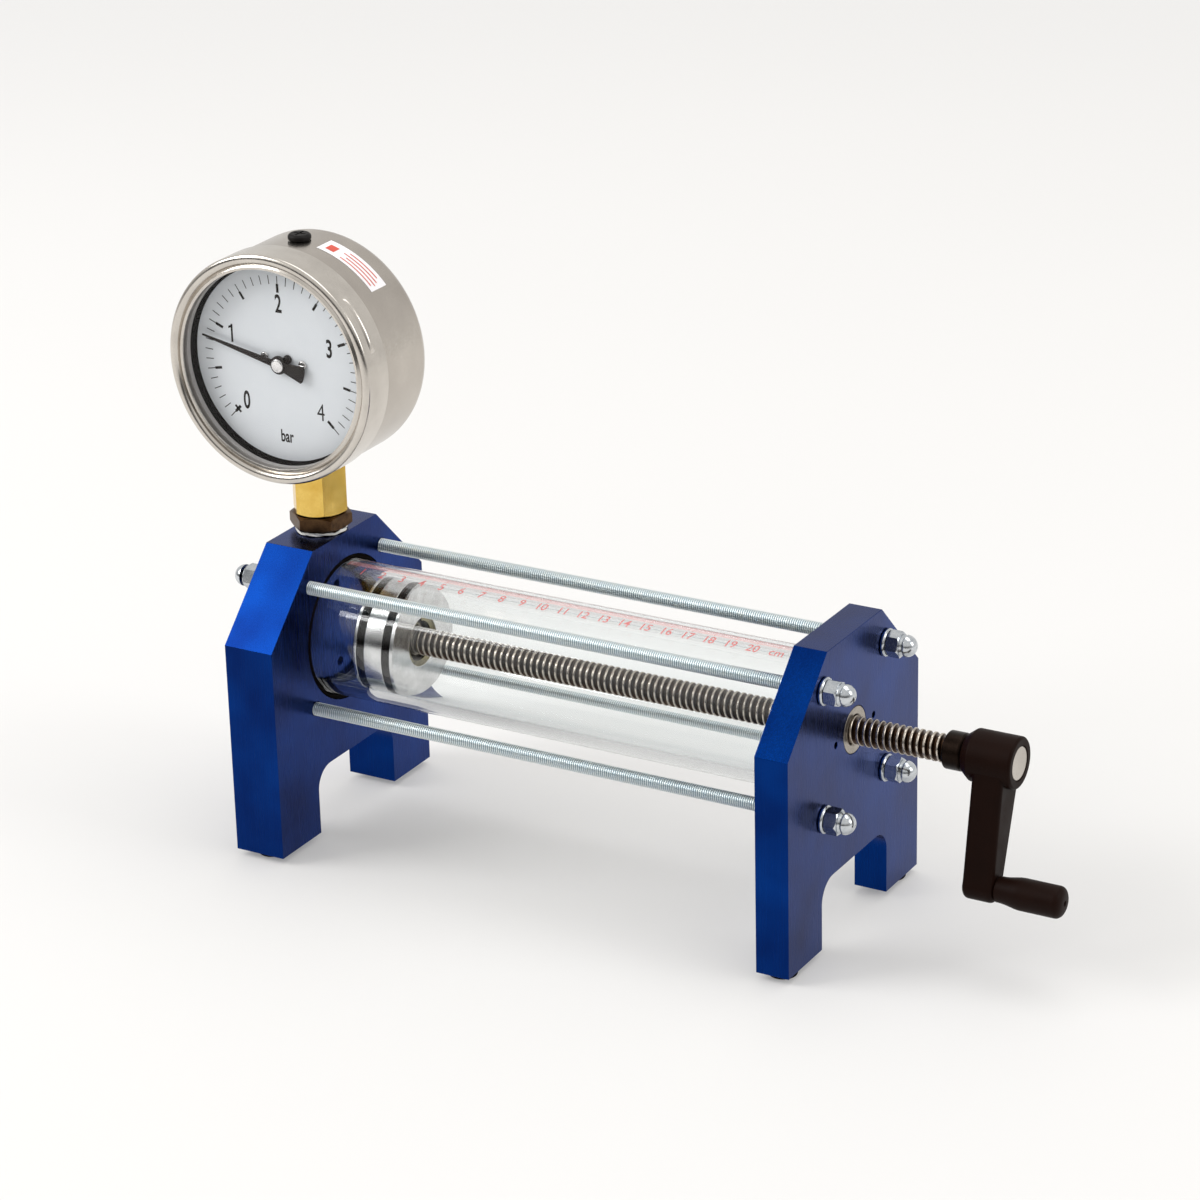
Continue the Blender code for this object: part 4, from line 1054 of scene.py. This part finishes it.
section = [(0, 0), (0, 8.2), (3.6, HUB_RADIUS), (hub_long - 0.8, HUB_RADIUS), (hub_long, HUB_RADIUS - 0.8)]
section += [(hub_long, 7.3), (hub_long - 1.3, 7.3), (hub_long - 1.3, 0)]
arm = settle(turned("moulded_crank_arm", section, phenolic, hub_at, "X", 96, 0.5))
outline = [(9.8, 0), (6.1, 2 - CRANK_RADIUS)] + arc((0, -CRANK_RADIUS), ARM_TIP, -8, -172, 28)
outline += [(-6.1, 2 - CRANK_RADIUS), (-9.8, 0)]
web = extruded("web", outline, ARM_START, ARM_START + ARM_THICK, phenolic, hub_at)
carve(arm, "UNION", settle(soften(web, 2.3, 6)))
pin_at = hub_at + Vector((0, 0, -CRANK_RADIUS))
stem_bore = cutter("stem_bore", bar_section(-1, hub_long - 1.0, 4.8), phenolic, hub_at, sides=48)
pin_bore = cutter("pin_bore", bar_section(9.8, 30, 3.3), phenolic, pin_at, sides=48)
carve(arm, "DIFFERENCE", stem_bore, pin_bore)
arm.data.set_sharp_from_angle(angle=math.radians(32))
arm.modifiers.new("even shading", "WEIGHTED_NORMAL").keep_sharp = True
arm.rotation_euler.x = -CRANK_ANGLE
stands_for(arm, "dark_phenolic", "crank", "crank_arm")

thick = cap_high.x - cap_low.x
section = [(0, 0), (0, 7.0), (thick - 0.15, 7.0), (thick, 6.7), (thick - 0.12, 6.2), (thick - 0.12, 0)]
cap = turned("hub_cap_disc", section, satin_stainless, on_axis(cap_low.x), "X", 96, 0.05)
stands_for(cap, "steel", "crank", "hub_cap")
print("crank arm:", len(arm.data.polygons), "faces, throw", CRANK_RADIUS, "mm")

# %% [markdown]
# ## Grip
# A turned handle that spins on a pin: slim beside the arm, swelling to a straight barrel, with a
# domed end and a small moulding dimple.

# %% Grip and its pin
GRIP_RADIUS = 6.75
GRIP_DOME = 3.2
PIN_RADIUS = 3.0

pin_low, pin_high = corners("grip_pin")
grip_low, grip_high = corners("crank_grip")
grip_y, grip_z = (grip_low.y + grip_high.y) / 2, (grip_low.z + grip_high.z) / 2
grip_long = grip_high.x - grip_low.x + 0.3
section = [(0.3, 3.3), (0.3, 5.0), (0.7, 5.4), (1.6, 5.42), (3.0, 5.5), (5.0, 5.75), (7.2, 6.2), (9.4, 6.62)]
section += [(11.2, GRIP_RADIUS), (grip_long - GRIP_DOME, GRIP_RADIUS)]
for turn in (math.radians(angle) for angle in range(12, 85, 8)):
    section.append((grip_long - GRIP_DOME + GRIP_DOME * math.sin(turn), 1.4 + 5.35 * math.cos(turn) ** 0.75))
section += [(grip_long, 1.3), (grip_long - 0.7, 0.8), (grip_long - 0.8, 0), (23.5, 0), (23.5, 3.3)]
grip = turned("turned_grip", section, grip_plastic, (grip_low.x - 0.3, grip_y, grip_z), "X", 96, 0)
stands_for(grip, "dark_phenolic", "grip", "crank_grip")
section = bar_section(0, pin_high.x - pin_low.x, PIN_RADIUS)
pin = turned("grip_pin_ground", section, ground_steel, (pin_low.x, grip_y, grip_z), "X", 48, 0.4)
stands_for(pin, "steel", "crank", "grip_pin")
print("grip:", round(grip_long, 1), "mm long")

# %% [markdown]
# ## Gauge case and bezel
# The case is a drawn stainless cup. The bezel is a rolled ring: its front edge is a fat rounded rim
# that turns in to a thin lip round the glass. Places in the gauge are measured from the middle of
# its dial: x right, y back, z up.

# %% Case, bezel and window
CASE_RADIUS = 49.6
CASE_INNER = 47.2
NECK_RADIUS = 48.6
BEZEL_RADIUS = 50.5
OPENING = 43.9
GLASS_RADIUS = 48.4
BACK_ROUNDING = 6.0
SEAM = -18.3
RIM = 1.7

bezel_low, bezel_high = corners("bezel_ring")
case_low, case_high = corners("gauge_case")
GAUGE = Vector(((bezel_low.x + bezel_high.x) / 2, 0, (bezel_low.z + bezel_high.z) / 2))
gauge_front, bezel_back = bezel_low.y, bezel_high.y
case_back = case_high.y

section = [(case_back, 0)]
section += [(case_back - BACK_ROUNDING + r, CASE_RADIUS - BACK_ROUNDING + a)
            for r, a in arc((0, 0), BACK_ROUNDING, 0, 90, 10)]
section += [(SEAM, CASE_RADIUS), (SEAM, NECK_RADIUS), (-28, NECK_RADIUS), (-28, CASE_INNER)]
section += [(case_back - 6, CASE_INNER), (case_back - 2, 43.2), (case_back - 2, 0)]
case = settle(turned("drawn_case", section, satin_stainless, GAUGE, "Y", 192, 0.35))
socket_hole = drill("socket_hole", 8.3, -60, -30, GAUGE, "Z")
vent_plug_hole = drill("vent_plug_hole", 4.3, 30, 60, GAUGE + Vector((0, -5, 0)), "Z")
carve(case, "DIFFERENCE", socket_hole, vent_plug_hole)
case.modifiers.new("even shading", "WEIGHTED_NORMAL").keep_sharp = True
case.data.materials.clear()
case.data.materials.append(satin_stainless)
stands_for(case, "stainless_steel", "stand", "gauge_case")

section = [(bezel_back, 48.9), (bezel_back, BEZEL_RADIUS)]
for angle in range(0, -181, -15):
    turn = math.radians(angle)
    section.append((gauge_front + RIM + RIM * math.sin(turn), 48.4 + 2.1 * math.cos(turn)))
section += [(gauge_front + 1.5, 46.1), (gauge_front + 1.1, 45.5), (gauge_front + 0.7, 45.0)]
section += [(gauge_front + 0.9, OPENING), (gauge_front + RIM, OPENING), (gauge_front + RIM, 48.9)]
bezel = turned("rolled_bezel", section, bezel_stainless, GAUGE, "Y", 192, 0.08)
stands_for(bezel, "stainless_steel", "stand", "bezel_ring")

window_low, window_high = corners("gauge_window")
section = bar_section(window_low.y, window_high.y, GLASS_RADIUS)
window = turned("flat_window", section, window_glass, GAUGE, "Y", 160, 0.2)
stands_for(window, "instrument_glass", "stand", "gauge_window")

lip = [(-29.7, OPENING), (-29.7, GLASS_RADIUS), (-28.3, GLASS_RADIUS)]
lip += [(-28.3, 46.9), (-27.2, 46.9), (-27.2, OPENING)]
black = [(-27.1, OPENING), (-27.1, 46.9), (-21.0, 46.9), (-21.0, 43.3), (-22.6, 43.3)]
for name, section, finish, rounding in (
    ("window_seal_lip", lip, gauge_lining, 0.3),
    ("window_seal_black", black, matt_rubber, 0.2),
):
    seal = turned(name, section, finish, GAUGE, "Y", 160, rounding)
    stands_for(seal, "black_rubber", "stand", "window_gasket")
print("gauge:", round(bezel_high.x - bezel_low.x), "mm across,", round(case_back - gauge_front, 1), "mm deep")

# %% [markdown]
# ## Dial
# A white enamelled disc, printed in black. The scale runs from 0 to 4 bar over 270 degrees, so one
# bar is 67.5 degrees. Long marks carry a thick inner part and a thin outer line. The drawing is made
# flat, then stood up facing forward, a hair in front of the enamel.

# %% Dial and its print
DIAL_RADIUS = 43.2
DEGREES_PER_BAR = 67.5
FIRST_MARK = -135.0
MARK_INNER = 31.4
MARK_OUTER = 38.8
NUMERAL_RADIUS = 26.6
NUMERAL_HEIGHT = 7.6

dial_low, dial_high = corners("gauge_dial")
section = ring_section(dial_low.y, dial_high.y, 3.0, DIAL_RADIUS)
dial = turned("enamelled_dial", section, dial_enamel, GAUGE, "Y", 160, 0.1)
stands_for(dial, "white_dial", "stand", "gauge_dial")


def mark(bm, reading, inner, outer, width):
    """A straight mark across this reading in bar, between two radii."""
    turn = Matrix.Rotation(math.radians(-(FIRST_MARK + DEGREES_PER_BAR * reading)), 3, "Z")
    spots = [(-width / 2, inner, 0), (width / 2, inner, 0), (width / 2, outer, 0), (-width / 2, outer, 0)]
    bm.faces.new([bm.verts.new(turn @ Vector(spot)) for spot in spots])


def stood_up(bm, name, material, in_front=0.05):
    """Stands a flat drawing up as the dial's face."""
    for vert in bm.verts:
        vert.co = (vert.co.x, dial_low.y - in_front - vert.co.z, vert.co.y)
    return stands_for(place_mesh(bm, name, material, GAUGE), "white_dial", "stand")


drawing = bmesh.new()
for tenth in range(0, 41):
    if tenth % 10 == 0:
        mark(drawing, tenth / 10, MARK_INNER, 35.3, 1.25)
        mark(drawing, tenth / 10, 35.3, MARK_OUTER, 0.4)
    elif tenth % 5 == 0:
        mark(drawing, tenth / 10, MARK_INNER, 35.0, 1.15)
        mark(drawing, tenth / 10, 35.0, MARK_OUTER, 0.38)
    else:
        mark(drawing, tenth / 10, 34.9, MARK_OUTER, 0.36)
# A crossbar on the first mark.
mark(drawing, 0, 32.8, 33.8, 4.0)
stood_up(drawing, "dial_marks", black_ink)

drawing = bmesh.new()
for number in range(5):
    x, z = polar(NUMERAL_RADIUS, 90 - (FIRST_MARK + DEGREES_PER_BAR * number))
    # The 4 is drawn wider and lighter than the others.
    squeeze, weight = (0.74, -0.006) if number == 4 else (0.62, 0.02)
    lettering(drawing, str(number), x, z, NUMERAL_HEIGHT, squeeze, weight)
    if number == 1:
        flag = [(x - 1.7, z + 1.9, 0), (x - 1.7, z + 2.9, 0), (x + 0.2, z + 3.8, 0), (x + 0.2, z + 2.7, 0)]
        drawing.faces.new([drawing.verts.new(spot) for spot in flag])
lettering(drawing, "bar", 1.1, -32.2, 5.2, 0.64, 0.02)
stood_up(drawing, "dial_numerals", black_ink)
print("dial: 41 marks, numerals 0 to 4")

# %% Pointer and dial screws
POINTER_READING = math.radians(-77.6)
POINTER_FRONT = -26.2
SLIT = 0.25

blade = [(-0.35, 39.2), (0.35, 39.2), (1.45, 4.5), (1.6, 0), (3.9, -12.2)]
blade += [polar(13.2, angle) for angle in range(-76, -107, -4)]
blade += [(-3.9, -12.2), (-1.6, 0), (-1.45, 4.5)]
needle = extruded("pointer_blade", blade, POINTER_FRONT, -25.5, pointer_paint, GAUGE, "Y")
carve(needle, "DIFFERENCE", cutter("bore", bar_section(-26.9, -20, 1.3), pointer_paint, GAUGE, "Y", 32))
soften(needle, 0.12, 2)
needle.rotation_euler.y = POINTER_READING
stands_for(needle, "pointer_black", "pointer", "pointer")
hub = [(-26.9, 0), (-27.2, 2.3), (-27.0, 2.9), (POINTER_FRONT, 3.0), (POINTER_FRONT, 0)]
boss = [(-26.3, 0), (-26.3, 3.7), (-26.0, 4.0), (-24.8, 4.0), (-24.8, 1.3), (-25.6, 1.3), (-25.6, 0)]
for name, section, finish in (("pointer_hub", hub, turned_aluminium), ("pointer_boss", boss, pointer_paint)):
    made = turned(name, section, finish, GAUGE, "Y", 64, 0.15)
    stands_for(made, "pointer_black", "pointer", "pointer")

face = dial_low.y
for name, x, z, radius, tall, finish in (
    ("stop_pin_knob", 3.6, 2.6, 1.9, 1.6, pointer_paint),
    ("dial_screw_right", 10.9, 1.2, 1.9, 1.0, turned_aluminium),
    ("dial_screw_left", -8.2, 2.5, 1.9, 1.0, turned_aluminium),
):
    top = face - tall
    section = [(top, 0), (top, radius - 0.4), (top + 0.4, radius), (face, radius), (face, 0)]
    head = settle(turned(name, section, finish, GAUGE + Vector((x, 0, z)), "Y", 48, 0.15))
    if finish is turned_aluminium:
        outline = [(-3, -SLIT), (3, -SLIT), (3, SLIT), (-3, SLIT)]
        slit = extruded("slit", outline, face - 3, top + 0.45, finish, head.location / MM, "Y")
        carve(head, "DIFFERENCE", slit)
    stands_for(head, "white_dial", "stand")
print("pointer at", round(math.degrees(POINTER_READING), 1), "degrees from the top")

# %% [markdown]
# ## Marks on the case
# A lug pressed out of the bezel's skirt locks it to the case. Behind the seam a small glossy label is
# wrapped round the shoulder, with plain red bars in place of print, and a rubber plug sits on top.

# %% Lug, label and vent plug
plug_low, plug_high = corners("vent_plug")
plug_middle = (plug_low + plug_high) / 2
plug_at = (plug_middle.x, plug_middle.y, GAUGE.z)
section = [(CASE_RADIUS - 4, 0), (CASE_RADIUS - 4, 4.0), (CASE_RADIUS + 0.3, 4.0), (CASE_RADIUS + 0.3, 5.0)]
section += [(CASE_RADIUS + 1.9, 5.0), (CASE_RADIUS + 2.8, 4.1), (CASE_RADIUS + 2.8, 0)]
plug = settle(turned("rubber_vent_plug", section, nitrile_rubber, plug_at, "Z", 72, 0.4))
slots = []
for x, y in ((3, 0.45), (0.45, 3)):
    outline = [(-x, -y), (x, -y), (x, y), (-x, y)]
    slots.append(extruded("slot", outline, CASE_RADIUS + 2.1, CASE_RADIUS + 4, nitrile_rubber, plug_at, "Z"))
carve(plug, "DIFFERENCE", *slots)
soften(plug, 0.15, 2)
stands_for(plug, "black_rubber", "stand", "vent_plug")


def around_case(bm, name, material, radius, slot):
    """Wraps a flat drawing round the case: x is degrees clockwise from the top, y is the gauge's y."""
    for vert in bm.verts:
        angle = math.radians(vert.co.x)
        out = radius + vert.co.z
        vert.co = (out * math.sin(angle), vert.co.y, out * math.cos(angle))
    return stands_for(place_mesh(bm, name, material, GAUGE), slot, "stand")


def grid(bm, left, right, front_y, back_y, columns, rows=1, lift=lambda u, v: 0.0):
    """A grid of quads in a flat drawing, lifted by a function of its own 0 to 1 coordinates."""
    spots = [
        [bm.verts.new((left + (right - left) * u / columns, front_y + (back_y - front_y) * v / rows,
                       lift(u / columns, v / rows))) for v in range(rows + 1)]
        for u in range(columns + 1)
    ]
    for u in range(columns):
        for v in range(rows):
            bm.faces.new((spots[u][v], spots[u + 1][v], spots[u + 1][v + 1], spots[u][v + 1]))


drawing = bmesh.new()
grid(drawing, 12.5, 49.0, -8.6, 2.6, 40)
around_case(drawing, "case_label", label_paper, CASE_RADIUS + 0.08, "white_dial")
drawing = bmesh.new()
for line, (start, end) in enumerate(((25, 46), (27, 47), (24, 46), (26, 44))):
    front_y = -6.8 + 2.2 * line
    grid(drawing, start, end, front_y, front_y + 0.6, 26)
grid(drawing, 15.5, 20.5, -6.0, -1.0, 6)
around_case(drawing, "case_label_bars", label_ink, CASE_RADIUS + 0.16, "white_dial")

drawing = bmesh.new()
grid(drawing, 45.0, 75.0, -28.6, -25.2, 48, 12,
     lambda u, v: 0.9 * (1 - abs(2 * v - 1) ** 2.2) * (1 - abs(2 * u - 1) ** 6) - 0.02)
around_case(drawing, "bezel_lug", bezel_stainless, BEZEL_RADIUS, "stainless_steel")
print("label 36 degrees wide, lug 30 degrees long")

# %% [markdown]
# ## Fittings under the gauge
# A brass hexagon carries the gauge and screws into a darkened reducer, sealed to the plate with white
# tape whose torn edge peeps out. Each hexagon's corners are turned off at 30 degrees.

# %% Socket, reducer and tape
SOCKET_FLATS = 22.0
REDUCER_FLATS = 24.0
TAPE_SIDES = 144
TAPE_WRAPS = 6
TAPE_RADIUS = 11.3

reducer_low, reducer_high = corners("reducer_bushing")
tape_low, tape_high = corners("ptfe_tape")
hex_top = case_low.z - 0.8
under_gauge = (GAUGE.x, 0, 0)


def hexagonal(name, flats, first_corner, low_z, high_z, material):
    """A hexagonal piece with both ends' corners turned off."""
    made = extruded(name, hexagon(flats, first_corner), low_z, high_z, material, under_gauge, "Z")
    corner = flats / math.sqrt(3) + 0.1
    drop = (corner - flats / 2) * math.tan(math.radians(30))
    blank = [(low_z - 0.01, 0), (low_z - 0.01, flats / 2 - 0.2), (low_z + drop, corner)]
    blank += [(high_z - drop, corner), (high_z + 0.01, flats / 2 - 0.2), (high_z + 0.01, 0)]
    return carve(made, "INTERSECT", cutter("blank", blank, material, under_gauge, "Z", 96))


socket = hexagonal("brass_gauge_socket", SOCKET_FLATS, -50, reducer_high.z + 0.3, hex_top, machined_brass)
neck = bar_section(hex_top - 1, hex_top + 10, 8.0)
carve(socket, "UNION", cutter("neck", neck, machined_brass, under_gauge, "Z", 64))
stands_for(soften(socket, 0.25, 2), "brass", "stand", "gauge_socket")

plate_top = gauge_plate_high.z
reducer = hexagonal("dark_reducer", REDUCER_FLATS, -98, plate_top + 2.4, reducer_high.z, aged_bronze)
spigot = bar_section(reducer_low.z, plate_top + 3, 10.2)
carve(reducer, "UNION", cutter("spigot", spigot, aged_bronze, under_gauge, "Z"))
stands_for(soften(reducer, 0.3, 2), "dark_bronze", "stand", "reducer_bushing")

# The tape is a ring of points whose radius and top edge waver, so that it looks torn and stretched.
tape = bmesh.new()
rings = []
for layer in range(TAPE_WRAPS + 1):
    up = layer / TAPE_WRAPS
    line = []
    for side in range(TAPE_SIDES):
        turn = math.tau * side / TAPE_SIDES
        ragged = 0.35 * math.sin(5 * turn + 1.1) + 0.25 * math.sin(13 * turn + 4 * up)
        ragged += 0.15 * math.sin(31 * turn)
        radius = TAPE_RADIUS + 0.25 * math.sin(9 * turn + 7 * up) + 0.3 * math.sin(4 * turn + 2) * (1 - up)
        z = tape_low.z + 0.1 + (tape_high.z - tape_low.z - 0.7 + 0.5 * ragged) * up
        line.append(tape.verts.new((radius * math.cos(turn), radius * math.sin(turn), z)))
    rings.append(line)
for lower, upper in zip(rings, rings[1:]):
    for side in range(TAPE_SIDES):
        following = (side + 1) % TAPE_SIDES
        tape.faces.new((lower[side], lower[following], upper[following], upper[side]))
wrap = place_mesh(tape, "wrapped_thread_tape", thread_tape, under_gauge, 60)
shell = wrap.modifiers.new("thickness", "SOLIDIFY")
shell.thickness = 0.25 * MM
shell.offset = -1
stands_for(wrap, "ptfe_tape", "stand", "ptfe_tape")
print("socket", SOCKET_FLATS, "mm and reducer", REDUCER_FLATS, "mm across flats")

# %% [markdown]
# ## What stays from the engineering model
# The movement behind the dial is plain brass stampings, and they are hidden. They keep their shape
# and get the brass finish.

# %% Carried-over pieces
MOVEMENT = (
    "pinion_arbor", "sector_gear", "link_bar", "bourdon_tube", "movement_front_plate", "movement_back_plate",
)
for name in MOVEMENT:
    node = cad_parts[name]
    node.data.materials.clear()
    node.data.materials.append(machined_brass)
kept = [name for name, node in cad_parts.items() if not node.hide_render]
print("nodes still showing:", sorted(kept))

# %% [markdown]
# ## The floor
# A wide pale sheet. Its tone drifts very slightly, as a paper sweep's does. It glows a little, which
# stands for the light that a white studio sends back from every side, and keeps the shadows pale.

# %% Floor
paper, tree, shader, place = start_material("matt_backdrop_paper")
fill(shader, roughness=0.75, emission_color=colour("F3F2F0"), emission_strength=0.26)
drift = add(tree, "TexNoise", {0: place, "Scale": per(900), "Detail": 2.0})
pale = add(tree, "Mix", {0: drift.outputs[0], 6: colour("C3C2C1"), 7: colour("C9C8C7")}, data_type="RGBA")
tree.links.new(pale.outputs[2], shader.inputs["Base Color"])
# The sheet fades out from 1 m to 2.6 m from the object, so that no horizon shows from any side.
away = add(tree, "VectorMath", {0: place}, operation="LENGTH").outputs["Value"]
fade = add(tree, "MapRange", {0: away, 1: 1.0, 2: 2.6, 3: 1.0, 4: 0.0}, interpolation_type="SMOOTHSTEP")
tree.links.new(fade.outputs[0], shader.inputs["Alpha"])
sheet = bmesh.new()
bmesh.ops.create_grid(sheet, x_segments=24, y_segments=24, size=3000)
floor = place_mesh(sheet, "floor_sheet", paper, (0, 0, 0))
print("floor: 6 m square")
